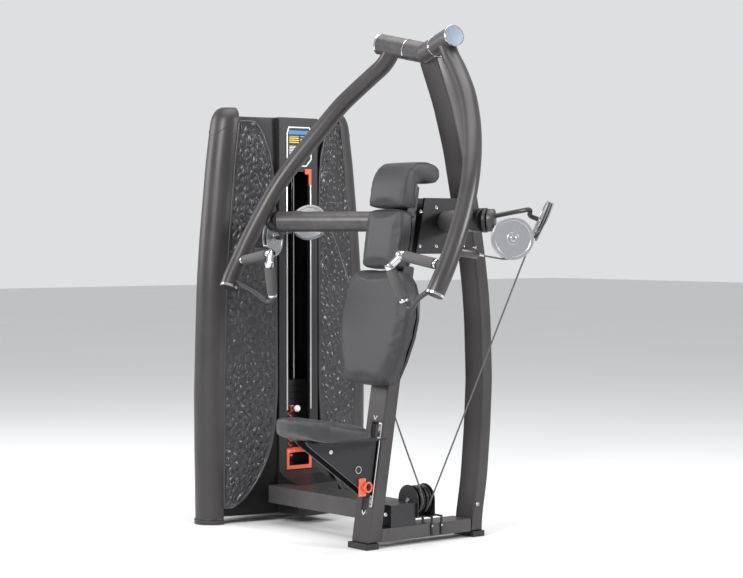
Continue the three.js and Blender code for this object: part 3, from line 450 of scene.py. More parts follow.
def sweep(bm, path, radius, segments=28, closed=False):
    """Round bar along a path: one ring, extruded from station to station."""
    n = len(path)

    def tangent(i):
        if closed:
            return (path[(i + 1) % n] - path[i - 1]).normalized()
        return (path[min(i + 1, n - 1)] - path[max(i - 1, 0)]).normalized()

    frames, turn = [], None
    for i in range(n):
        t = tangent(i)
        if turn is None:
            turn = t.to_track_quat("Z", "Y")
        else:
            turn = (turn @ Vector((0, 0, 1))).rotation_difference(t) @ turn
        frames.append(Matrix.Translation(path[i]) @ turn.to_matrix().to_4x4())
    first = bmesh.ops.create_circle(bm, cap_ends=False, segments=segments, radius=radius, matrix=frames[0])
    edges = list({e for v in first["verts"] for e in v.link_edges})
    start = edges
    for a, b in zip(frames, frames[1:]):
        made = bmesh.ops.extrude_edge_only(bm, edges=edges)["geom"]
        verts = [g for g in made if isinstance(g, bmesh.types.BMVert)]
        edges = [g for g in made if isinstance(g, bmesh.types.BMEdge)]
        bmesh.ops.transform(bm, matrix=b @ a.inverted(), verts=verts)
    if closed:
        bmesh.ops.bridge_loops(bm, edges=start + edges)
    else:
        bmesh.ops.edgeloop_fill(bm, edges=start)
        bmesh.ops.edgeloop_fill(bm, edges=edges)


def revolve(bm, profile, centre, axis, steps=48):
    """Profile of (radius, height) rows turned about an axis through centre."""
    turn = Vector((0, 0, 1)).rotation_difference(Vector(axis)).to_matrix().to_4x4()
    place = Matrix.Translation(centre) @ turn
    verts = [bm.verts.new(place @ Vector((r, 0, h))) for r, h in profile]
    edges = [bm.edges.new(pair) for pair in zip(verts, verts[1:])]
    bmesh.ops.spin(bm, geom=verts + edges, cent=centre, axis=Vector(axis).normalized(), angle=2 * math.pi,
                   steps=steps, use_merge=True)
    bmesh.ops.remove_doubles(bm, verts=bm.verts, dist=1e-6)


def bar(bm, a, b, r, segments=32, round_by=0.0):
    """Straight round bar with softened ends."""
    a, b = Vector(a), Vector(b)
    length, c = (b - a).length, round_by
    rows = [(0, 0), (r - c, 0), (r - c * 0.3, c * 0.3), (r, c), (r, length - c), (r - c * 0.3, length - c * 0.3),
            (r - c, length), (0, length)]
    rows = [row for i, row in enumerate(rows) if i == 0 or row != rows[i - 1]]
    revolve(bm, rows, a, (b - a).normalized(), segments)


def block(bm, low, high, bevel=0.002, matrix=None):
    """Box between two corners, its edges rounded."""
    low, high = Vector(low), Vector(high)
    size = high - low
    place = (matrix or Matrix()) @ Matrix.Translation((low + high) / 2) @ Matrix.Diagonal((*size, 1))
    made = bmesh.ops.create_cube(bm, size=1, matrix=place)
    if bevel:
        edges = list({e for v in made["verts"] for e in v.link_edges})
        bmesh.ops.bevel(bm, geom=edges, offset=bevel, offset_type="OFFSET", segments=3, profile=0.5,
                        affect="EDGES", clamp_overlap=True, material=-1)


def slab(bm, outline, vector, bevel=0.0):
    """Flat outline given some thickness along a vector."""
    face = bm.faces.new([bm.verts.new(p) for p in outline])
    made = bmesh.ops.extrude_face_region(bm, geom=[face])["geom"]
    verts = [g for g in made if isinstance(g, bmesh.types.BMVert)]
    bmesh.ops.translate(bm, verts=verts, vec=vector)
    if bevel:
        sharp = [e for e in bm.edges if e.is_manifold and e.calc_face_angle(0) > 0.6
                 and (e.verts[0] in verts or face in e.link_faces)]
        bmesh.ops.bevel(bm, geom=sharp, offset=bevel, offset_type="OFFSET", segments=3, profile=0.5,
                        affect="EDGES", clamp_overlap=True, material=-1)


def piece(name, bm, finish, body, replaces=(), sharp=0.6):
    """Finished object from a bmesh: normals out, sharp edges kept, riding on its body."""
    bmesh.ops.remove_doubles(bm, verts=bm.verts, dist=1e-6)
    bmesh.ops.recalc_face_normals(bm, faces=bm.faces)
    for f in bm.faces:
        f.smooth = True
    for e in bm.edges:
        e.smooth = not (len(e.link_faces) == 2 and e.calc_face_angle(0) > sharp)
    mesh = bpy.data.meshes.new(name)
    bm.to_mesh(mesh)
    bm.free()
    mesh.materials.append(FINISH[finish])
    made = bpy.data.objects.new(name, mesh)
    bpy.context.scene.collection.objects.link(made)
    if body:
        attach(made, body)
    if replaces:
        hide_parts(*replaces)
    return made


def finish_cad(name, finish, bevel=0.0025):
    """A CAD node that keeps its shape gets its finish and softened edges."""
    kept = NODES[name]
    kept.data.materials.clear()
    kept.data.materials.append(FINISH[finish])
    weld = kept.modifiers.new("weld", "WELD")
    weld.merge_threshold = 0.00005
    if bevel:
        soften = kept.modifiers.new("soften", "BEVEL")
        soften.width, soften.segments, soften.limit_method = bevel, 3, "ANGLE"
        soften.angle_limit = math.radians(35)


def bolt(bm, at, direction, r=0.008, height=0.005):
    """Button-head screw with a hexagonal socket."""
    rows = [(0, height * 0.35), (r * 0.38, height * 0.35), (r * 0.40, height * 0.95), (r * 0.62, height),
            (r * 0.9, height * 0.62), (r, height * 0.15), (r, 0), (0, 0)]
    revolve(bm, rows, Vector(at), Vector(direction).normalized(), 20)


# ---- operators ----
class PRESS_OT_frame(bpy.types.Operator):
    """Posts, beams, hub block, plates and the finishes of the nodes kept from CAD"""
    bl_idname = "press.frame"
    bl_label = "Frame"

    def execute(self, context):
        for name in ("base_beam", "cross_tube", "seat_post", "backrest_rail"):
            finish_cad(name, "paint", 0.006)
        for name in ("seat_post_foot", "rear_post_foot"):
            finish_cad(name, "black", 0.004)
        for name in ("cross_saddle", "mount_plate_left", "mount_plate_right", "base_pulley_bracket"):
            finish_cad(name, "dark", 0.0012)
        bm = bmesh.new()
        heights = [0.022 + (1.76 - 0.022) * i / 64 for i in range(65)]
        depth = [(0.0, 0.052), (1.48, 0.052), (1.52, 0.058), (1.9, 0.058)]
        front = [Vector((-0.05, eased(REAR_FRONT, z), z)) for z in heights]
        back = [Vector((-0.05, eased(REAR_FRONT, z) + eased(depth, z), z)) for z in reversed(heights)]
        slab(bm, front + back, Vector((0.1, 0, 0)))
        edges = [e for e in bm.edges
                 if e.calc_face_angle(0) > 1.2 and abs((e.verts[0].co - e.verts[1].co).x) < 1e-4]
        bmesh.ops.bevel(bm, geom=edges, offset=0.008, offset_type="OFFSET", segments=4, profile=0.5,
                        affect="EDGES", clamp_overlap=True, material=-1)
        piece("rear_post_body", bm, "paint", "frame", ["rear_post"])
        bm = bmesh.new()
        for side in (1, -1):
            bar(bm, hub(side, -0.0803), hub(side, -0.0006), 0.038, 48)
            bar(bm, hub(side, -0.02), hub(side, 0.126), 0.016, 24)
        piece("hub_body", bm, "paint", "frame", ["hub_block"])
        bm = bmesh.new()
        for side in (1, -1):
            x = side * 0.0462
            for y, z in ((0.226, 1.20), (0.300, 1.215), (0.300, 1.075), (0.430, 1.075), (0.430, 1.215), (0.222, 1.075)):
                bolt(bm, (x, y, z), (side, 0, 0), 0.0075, 0.005)
            bolt(bm, (side * 0.0502, 0.060, 0.12), (side, 0, 0), 0.008, 0.005)
            bolt(bm, (side * 0.0502, 0.500, 0.12), (side, 0, 0), 0.008, 0.005)
        piece("frame_bolts", bm, "steel", "frame")
        bm = bmesh.new()
        front, back = BASE_PULLEY.y - 0.0441, BASE_PULLEY.y + 0.0382
        bolt(bm, (BASE_PULLEY.x, front, BASE_PULLEY.z), (0, -1, 0), 0.009, 0.006)
        bolt(bm, (BASE_PULLEY.x, back, BASE_PULLEY.z), (0, 1, 0), 0.009, 0.006)
        for y in (0.276, 0.322):
            bolt(bm, (0.0554, y, 0.060), (1, 0, 0), 0.0045, 0.003)
        piece("base_pulley_bolts", bm, "steel", "frame")
        return {"FINISHED"}


class PRESS_OT_wings(bpy.types.Operator):
    """Wing tubes with their collars and the pulley heads on bent rods"""
    bl_idname = "press.wings"
    bl_label = "Wings and heads"

    def execute(self, context):
        for name, side in SIDES:
            bm = bmesh.new()
            bar(bm, m(side, (0.0472, 0.3505, 1.165)), m(side, (0.560, 0.044, 1.165)), 0.038, 48)
            piece(f"wing_{name}", bm, "paint", "frame", [f"wing_tube_{name}"])
            bm = bmesh.new()
            bar(bm, m(side, (0.545, 0.044, 1.165)), m(side, (0.590, 0.044, 1.165)), 0.0405, 48, 0.002)
            piece(f"wing_collar_{name}", bm, "dark", "frame")
            bm = bmesh.new()
            bolt(bm, m(side, (0.571, 0.0038, 1.165)), (0, -1, 0), 0.006, 0.002)
            piece(f"collar_screw_{name}", bm, "black", "frame")
            bm = bmesh.new()
            bar(bm, m(side, (0.585, 0.0455, 1.165)), m(side, HEAD_AT + HEAD_DIR * 0.004), 0.0412, 48, 0.0015)
            piece(f"head_ring_{name}", bm, "dark", "frame")
            direction = m(side, HEAD_DIR)
            start = m(side, HEAD_AT)
            bm = bmesh.new()
            bar(bm, start + direction * 0.0045, start + direction * 0.030, 0.038, 48, 0.004)
            p1_axis, p2_axis = m(side, P1_AXIS), m(side, P2_AXIS)
            p1, p2 = m(side, P1), m(side, P2)
            upper = [start + direction * 0.018 + Vector((0, 0, 0.012)), m(side, (0.652, 0.150, 1.196)),
                     m(side, (0.640, 0.205, 1.199)), p2 - p2_axis * 0.044, p2 - p2_axis * 0.020,
                     p2 - p2_axis * 0.0125]
            sweep(bm, smooth_path(upper, 30), 0.008, 20)
            lower = [m(side, (0.608, 0.068, 1.139)), m(side, (0.616, 0.092, 1.116)), p1 - p1_axis * 0.034,
                     p1 - p1_axis * 0.020, p1 - p1_axis * 0.0125]
            sweep(bm, smooth_path(lower, 22), 0.008, 20)
            piece(f"pulley_head_body_{name}", bm, "paint", "frame", [f"pulley_head_{name}"])
            bm = bmesh.new()
            for centre, axis in ((p1, p1_axis), (p2, p2_axis)):
                bar(bm, centre - axis * 0.0145, centre + axis * 0.0125, 0.007, 24)
                bar(bm, centre - axis * 0.0145, centre - axis * 0.0118, 0.013, 28, 0.0006)
                bolt(bm, centre + axis * 0.0122, axis, 0.0115, 0.0045)
            piece(f"pulley_bolts_{name}", bm, "steel", "frame")
        return {"FINISHED"}


def pulley_rows(r, width, bore, recess):
    """Half-section of a grooved disc with a shallow dish and a raised hub on each face."""
    w = width / 2
    face = [(bore, -w), (0.019, -w), (0.021, -w + recess), (r - 0.012, -w + recess), (r - 0.010, -w)]
    rim = [(r - 0.001, -w), (r, -w + 0.001), (r, -w + width * 0.18), (r - 0.0072, -0.0038), (r - 0.0072, 0.0038),
           (r, w - width * 0.18), (r, w - 0.001), (r - 0.001, w)]
    back = [(q, -h) for q, h in reversed(face)]
    return face + rim + back + [face[0]]


class PRESS_OT_pulleys(bpy.types.Operator):
    """Grooved alloy discs on the heads and dark pulleys over the base beam"""
    bl_idname = "press.pulleys"
    bl_label = "Pulleys"

    def execute(self, context):
        for name, side in SIDES:
            for label, centre, axis in (("lead", P1, P1_AXIS), ("drop", P2, P2_AXIS)):
                bm = bmesh.new()
                revolve(bm, pulley_rows(0.071, 0.022, 0.008, 0.0016), m(side, centre), m(side, axis), 72)
                body = f"{label}_pulley_{name}"
                piece(f"{label}_disc_{name}", bm, "alloy", body, [body])
                # black ring lining each groove's floor: painted shade deep in the alloy groove
                bm = bmesh.new()
                axis_s = m(side, axis)
                rows = [(0.0635, -0.0041), (0.0642, -0.0041), (0.0642, 0.0041), (0.0635, 0.0041), (0.0635, -0.0041)]
                revolve(bm, rows, m(side, centre), axis_s, 72)
                piece(f"{label}_groove_{name}", bm, "black", body)
            bm = bmesh.new()
            centre = BASE_PULLEY + Vector((0, side * 0.015, 0))
            revolve(bm, pulley_rows(0.052, 0.020, 0.008, 0.001), centre, (0, 1, 0), 60)
            piece(f"base_disc_{name}", bm, "black", f"base_pulley_{name}", [f"base_pulley_{name}"])
        return {"FINISHED"}


class PRESS_OT_arms(bpy.types.Operator):
    """Swinging arms with their sleeves, grips, caps, collars and lugs"""
    bl_idname = "press.arms"
    bl_label = "Arms"

    def execute(self, context):
        length = (HUB_OUT - HUB_IN).length
        for name, side in SIDES:
            body = f"arm_{name}"
            bm = bmesh.new()
            sweep(bm, smooth_path([m(side, p) for p in ARM_PATH], 72), 0.0315, 40)
            bar(bm, hub(side, 0.006), hub(side, length - 0.008), 0.038, 56)
            bar(bm, m(side, LUG[0]), m(side, LUG[1]), 0.017, 36, 0.002)
            bar(bm, m(side, GRIP_REAR[0].lerp(GRIP_REAR[1], 0.96)), m(side, (0.592, -0.131, 1.014)), 0.011, 28)
            bar(bm, m(side, GRIP_REAR[0]), m(side, GRIP_REAR[1]), 0.0109, 28)
            bar(bm, m(side, GRIP_FRONT[0]), m(side, GRIP_FRONT[1]), 0.0109, 28)
            bend = [GRIP_FRONT[1], (0.384, -0.122, 0.878), (0.410, -0.123, 0.871), (0.470, -0.139, 0.906),
                    (0.590, -0.158, 0.952)]
            sweep(bm, smooth_path([m(side, p) for p in bend], 34), 0.009, 22)
            piece(f"arm_tube_{name}", bm, "paint", body, [f"arm_{name}"])
            for label, (a, b), t0, t1 in (("rear", GRIP_REAR, 0.16, 0.95), ("front", GRIP_FRONT, 0.14, 0.93)):
                bm = bmesh.new()
                bar(bm, m(side, a.lerp(b, t0)), m(side, a.lerp(b, t1)), 0.0185, 40, 0.003)
                piece(f"hand_grip_{label}_{name}", bm, "grip", body, [f"grip_{label}_{name}"])
            bm = bmesh.new()
            out = (hub(side, 1) - hub(side, 0)).normalized()
            tip = hub(side, length)
            revolve(bm, [(0, -0.008), (0.0384, -0.008), (0.0392, -0.007), (0.0392, -0.001), (0.0382, 0),
                         (0.0345, 0), (0.0342, -0.0012), (0, -0.0012)], tip, out, 64)
            base = hub(side, 0)
            revolve(bm, [(0.030, 0.0008), (0.0385, 0.0008), (0.0392, 0.0015), (0.0392, 0.0058), (0.0385, 0.0066),
                         (0.030, 0.0066), (0.030, 0.0008)], base, out, 64)
            end, before = m(side, ARM_PATH[-1]), m(side, ARM_PATH[-2])
            down = (end - before).normalized()
            revolve(bm, [(0, -0.012), (0.0317, -0.012), (0.0327, -0.011), (0.0327, -0.004), (0.0322, -0.0035),
                         (0, -0.0035)], end + down * 0.0035, down, 56)
            for (a, b), t0, t1 in ((GRIP_REAR, -0.02, 0.15), (GRIP_REAR, 0.955, 1.02), (GRIP_FRONT, -0.03, 0.13),
                                   (GRIP_FRONT, 0.935, 1.03)):
                bar(bm, m(side, a.lerp(b, t0)), m(side, a.lerp(b, t1)), 0.0165, 36, 0.004)
            link = [m(side, grip[0].lerp(grip[1], 0.05)) for grip in (GRIP_REAR, GRIP_FRONT)]
            bar(bm, link[0], link[1], 0.0125, 28)
            piece(f"arm_chrome_{name}", bm, "chrome", body)
            bm = bmesh.new()
            revolve(bm, [(0, -0.0014), (0.0343, -0.0014), (0.0343, -0.0004), (0, 0.0002)], tip, out, 56)
            piece(f"hub_cap_{name}", bm, "cap", body)
            bm = bmesh.new()
            revolve(bm, [(0, -0.001), (0.029, -0.001), (0.030, 0.0), (0.029, 0.0016), (0, 0.002)],
                    end + down * 0.0005, down, 48)
            piece(f"arm_plug_{name}", bm, "black", body)
            # clevis and threaded eye that hold the cable's end
            bm = bmesh.new()
            eye = m(side, LUG[1])
            pull = (m(side, (0.617, 0.036, 1.045)) - eye).normalized()
            bar(bm, eye - pull * 0.004, eye + pull * 0.010, 0.0075, 24, 0.001)
            bar(bm, eye + pull * 0.008, eye + pull * 0.026, 0.0045, 20, 0.0005)
            bar(bm, eye + Vector((0, -0.008, 0.0165)), eye + Vector((0, -0.008, 0.024)), 0.006, 20, 0.001)
            piece(f"cable_clevis_{name}", bm, "chrome", body)
        return {"FINISHED"}


class PRESS_OT_cables(bpy.types.Operator):
    """Braided cables from each arm over its two discs and down to the base"""
    bl_idname = "press.cables"
    bl_label = "Cables"

    def execute(self, context):
        rim = 0.071 - 0.0072 + 0.003 + 0.0006
        e1 = Vector((0, 0, 1)).cross(P1_AXIS).normalized()
        up = Vector((0, 0, 1))
        for name, side in SIDES:
            # seen in the left half: the base pulley, and where the drop meets its +X side
            base = Vector((side * BASE_PULLEY.x, BASE_PULLEY.y + side * 0.015, BASE_PULLEY.z))
            small = 0.052 - 0.0072 + 0.003 + 0.0008
            run = Vector((base.x - side * P2.x, 0, base.z - P2.z)).normalized()
            first = math.atan2(run.x, -run.z)

            def turn(t):
                return Vector((side * (BASE_PULLEY.x + small * math.cos(t)), base.y, base.z + small * math.sin(t)))

            down = (turn(first) - P2).normalized()
            down = (down - P2_AXIS * down.dot(P2_AXIS)).normalized()
            w = P2_AXIS.cross(down).normalized()

            def around(t):
                return P1 + e1 * (rim * math.sin(t)) - up * (rim * math.cos(t))

            def over(t):
                return P2 - w * (rim * math.cos(t)) - down * (rim * math.sin(t))

            entry = around(0) - e1 * 0.036
            eye = LUG[1] + Vector((0.002, 0.010, -0.003))
            arcs = [around(t) for t in (0, 0.25, 0.5, 0.75, 1.0, 1.25, 1.5, 1.75)]
            arcs.append(over(0.1) + down * 0.014 - w * 0.007)
            arcs += [over(t) for t in (0.45, 0.75, 1.05, 1.35, 1.65, 1.95, 2.25, 2.55, 2.85, 3.1)]
            arcs.append(over(3.1) + down * 0.06)
            arcs.append(over(3.1).lerp(turn(first), 0.8))
            arcs += [turn(first + (-math.pi / 2 - first) * t) for t in (0, 0.25, 0.5, 0.75, 1)]
            arcs.append(turn(-math.pi / 2) - Vector((side * 0.036, 0, 0)))
            bm = bmesh.new()
            path = [m(side, p) for p in [entry + e1 * 0.002] + arcs]
            sweep(bm, smooth_path(path, 220), 0.003, 14)
            piece(f"cable_run_{name}", bm, "braid", "frame", [f"cable_{name}"])
            bm = bmesh.new()
            lead = [m(side, p) for p in (eye, eye.lerp(entry, 0.5), entry + e1 * 0.002)]
            sweep(bm, smooth_path(lead, 24), 0.003, 14)
            made = piece(f"cable_stretch_{name}", bm, "braid", None, [f"cable_lead_{name}"])
            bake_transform(made)
        return {"FINISHED"}


def puff(source, name, body, pressure, cap, shrink=0.0):
    """Padded copy of a CAD solid: remeshed, blown up as cloth with its rise capped, and smoothed."""
    bm = bmesh.new()
    bm.from_mesh(NODES[source].data)
    bmesh.ops.remove_doubles(bm, verts=bm.verts, dist=1e-5)
    mesh = bpy.data.meshes.new(name)
    bm.to_mesh(mesh)
    bm.free()
    made = bpy.data.objects.new(name, mesh)
    bpy.context.scene.collection.objects.link(made)
    bpy.context.view_layer.objects.active = made
    if shrink:
        inner = made.modifiers.new("inner", "DISPLACE")
        inner.strength, inner.mid_level = -shrink, 0.0
    grid = made.modifiers.new("grid", "REMESH")
    grid.mode, grid.voxel_size = "VOXEL", 0.006
    ease = made.modifiers.new("ease", "SMOOTH")
    ease.factor, ease.iterations = 0.5, 10
    bake(made)
    rest = [v.co.copy() for v in made.data.vertices]
    cloth = made.modifiers.new("cloth", "CLOTH")
    cloth.settings.use_pressure = True
    cloth.settings.uniform_pressure_force = pressure
    cloth.settings.effector_weights.gravity = 0
    cloth.settings.quality = 4
    cloth.settings.mass = 0.25
    for setting in ("tension_stiffness", "compression_stiffness", "shear_stiffness"):
        setattr(cloth.settings, setting, 40)
    cloth.settings.bending_stiffness = 2
    for step in range(1, 19):
        bpy.context.scene.frame_set(step)
    bake(made)
    for vertex, start in zip(made.data.vertices, rest):
        moved = vertex.co - start
        if moved.length > cap:
            vertex.co = start + moved.normalized() * cap
    bpy.context.scene.frame_set(1)
    ease = made.modifiers.new("ease", "SMOOTH")
    ease.factor, ease.iterations = 0.5, 6
    finer = made.modifiers.new("finer", "SUBSURF")
    finer.levels = finer.render_levels = 1
    bake(made)
    for polygon in made.data.polygons:
        polygon.use_smooth = True
    made.data.materials.append(FINISH["leather"])
    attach(made, body)
    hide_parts(source)
    return made


def bake(made):
    """Apply every modifier on an object."""
    graph = bpy.context.evaluated_depsgraph_get()
    mesh = bpy.data.meshes.new_from_object(made.evaluated_get(graph))
    made.modifiers.clear()
    made.data = mesh


def pad_edge(rows, z0, z1, inset=0.0):
    """Closed outline of a back pad as (x, z) rows in the leaning frame."""
    half = [(w / 1000 - inset, (z0 + t * (z1 - z0)) / 1000) for t, w in rows]
    return half + [(-x, z) for x, z in reversed(half)]


LOWER_ROWS = [(0, 112), (0.03, 128), (0.2, 158), (0.42, 184), (0.6, 192), (0.78, 184), (0.92, 156), (0.98, 132),
              (1, 118)]
UPPER_ROWS = [(0, 88), (0.04, 98), (0.5, 104), (0.96, 98), (1, 90)]


class PRESS_OT_pads(bpy.types.Operator):
    """Seat, back and head pads with their welts and backing boards"""
    bl_idname = "press.pads"
    bl_label = "Pads"

    def execute(self, context):
        swell = settings().swell
        cushions = {"lower": puff("lower_back_pad", "lower_back_cushion", "frame", 3.0, swell, 0.003),
                    "upper": puff("upper_back_pad", "upper_back_cushion", "frame", 3.0, swell * 0.8, 0.003)}
        puff("headrest_pad", "headrest_cushion", "frame", 3.0, swell * 0.7, 0.003)
        puff("seat_pad", "seat_cushion", "seat", 3.0, swell, 0.003)
        for name, rows, z0, z1 in (("lower", LOWER_ROWS, 562, 972), ("upper", UPPER_ROWS, 978, 1190)):
            bm = bmesh.new()
            for depth in (-0.064, -0.024):
                ring = [lean(x, depth, z) for x, z in pad_edge(rows, z0, z1)]
                loop = smooth_path(ring + [ring[0]], 120)[:-1]
                middle = lean(0, depth, (z0 + z1) / 2000)
                loop = [cushions[name].closest_point_on_mesh(p + (p - middle).normalized() * 0.02)[1] for p in loop]
                even = [(a + b * 2 + c) / 4 for a, b, c in zip(loop[-1:] + loop, loop, loop[1:] + loop[:1])]
                sweep(bm, even, 0.0014, 8,
                      closed=True)
            piece(f"{name}_back_seam", bm, "leather", "frame")
            bm = bmesh.new()
            outline = [lean(x, -0.0012, z) for x, z in pad_edge(rows, z0 + 14, z1 - 14, 0.016)]
            slab(bm, outline, lean(0, -0.0125, 0) - lean(0, -0.0012, 0))
            piece(f"{name}_back_board", bm, "black", "frame")
        bm = bmesh.new()
        block(bm, (-0.078, -0.0124, 1.205), (0.078, -0.0008, 1.288), 0.002, LEANING)
        piece("headrest_board", bm, "black", "frame")
        return {"FINISHED"}


class PRESS_OT_seat(bpy.types.Operator):
    """Seat carriage, slide rail, adjusting lever and pop pin"""
    bl_idname = "press.seat"
    bl_label = "Seat carriage"

    def execute(self, context):
        finish_cad("seat_bracket", "dark", 0.0015)
        finish_cad("slide_rail", "chrome", 0.0015)
        finish_cad("pop_pin_plate", "accent", 0.0015)
        bm = bmesh.new()
        revolve(bm, [(0, -0.0035), (0.016, -0.0035), (0.017, -0.0025), (0.017, 0.0025), (0.016, 0.0035),
                     (0.008, 0.0035), (0.0075, 0.0022), (0, 0.0022)], Vector((-0.052, -0.051, 0.287)), (-1, 0, 0), 40)
        spine = [(-0.056, 0.291, 0.007), (-0.112, 0.297, 0.0072), (-0.142, 0.317, 0.0075), (-0.168, 0.345, 0.008),
                 (-0.206, 0.362, 0.0082), (-0.250, 0.3665, 0.0085), (-0.282, 0.3645, 0.008), (-0.291, 0.363, 0.006)]
        curve = smooth_path([Vector((0, y, z)) for y, z, _ in spine], 44)
        widths = [(-y, w) for y, _, w in spine]
        upper, lower = [], []
        for i, p in enumerate(curve):
            t = (curve[min(i + 1, 44)] - curve[max(i - 1, 0)]).normalized()
            side = Vector((0, -t.z, t.y)) * table(widths, -p.y)
            upper.append(Vector((-0.0555, p.y, p.z)) + side)
            lower.append(Vector((-0.0555, p.y, p.z)) - side)
        slab(bm, upper + lower[::-1], Vector((0.0068, 0, 0)), 0.0015)
        piece("seat_lever_handle", bm, "accent", "seat_lever", ["seat_lever"], sharp=0.9)
        bm = bmesh.new()
        bar(bm, (0.0403, -0.034, 0.224), (0.052, -0.034, 0.224), 0.007, 28, 0.001)
        bar(bm, (0.048, -0.034, 0.224), (0.048, -0.029, 0.224), 0.004, 20)
        n = 40
        ring = [Vector((0.048, -0.015 + 0.0145 * math.cos(2 * math.pi * i / n),
                        0.224 + 0.0165 * math.sin(2 * math.pi * i / n))) for i in range(n)]
        sweep(bm, ring, 0.0036, 16, closed=True)
        piece("pop_pin_loop", bm, "accent", "pop_pin", ["pop_pin"])
        bm = bmesh.new()
        for y in (-0.045, -0.024):
            for z in (0.198, 0.250):
                bolt(bm, (0.0402, y, z), (1, 0, 0), 0.0035, 0.002)
        revolve(bm, [(0.011, 0.0002), (0.0135, 0.0002), (0.0135, 0.0012), (0.011, 0.0012), (0.011, 0.0002)],
                Vector((0.0361, -0.051, 0.287)), (1, 0, 0), 36)
        piece("seat_fasteners", bm, "steel", "seat")
        bm = bmesh.new()
        for side in (1, -1):
            bolt(bm, (side * 0.0342, -0.172, 0.359), (side, 0, 0), 0.008, 0.004)
        piece("seat_bolts", bm, "white", "seat")
        bm = bmesh.new()
        for z in (0.452, 0.112):
            mark = [lean(-0.010, -0.0006, z), lean(0, -0.0006, z - 0.014), lean(0.010, -0.0006, z),
                    lean(0.010, -0.0006, z + 0.005), lean(0, -0.0006, z - 0.009), lean(-0.010, -0.0006, z + 0.005)]
            slab(bm, mark, lean(0, -0.0001, 0) - lean(0, -0.0006, 0))
        piece("height_marks", bm, "white", "frame")
        # black discs at the adjusting holes: painted shade standing in for the dark inside of each hole
        bm = bmesh.new()
        for z in (0.14, 0.16, 0.38, 0.40, 0.42):
            bar(bm, lean(0.037, -0.0056, z), lean(0.037, -0.0050, z), 0.0032, 16)
        piece("height_hole_shade", bm, "black", "frame")
        return {"FINISHED"}


def shield_point(out, end, v, u, lift=0.0):
    """Point of a shield's outer face: v up its height, u from the column edge to the inner edge."""
    z = 0.064 + (1.552 - 0.064) * v
    edge = TOWER_HALF - COLUMN_BACK - eased(INWARD, z) - 0.0003
    inner = min(edge - 0.026, TOWER_HALF - table(SHIELD_INNER, z) + SHROUD_HALF - 0.002)
    width = edge - inner
    rise = (SHROUD_OUT - COLUMN_R) * math.sin(u * math.pi / 2) * min(width / SHIELD_SPAN, 1)
    return Vector((TOWER_X + out * (COLUMN_R + rise + lift), TOWER_Y + end * (edge - u * width), z))


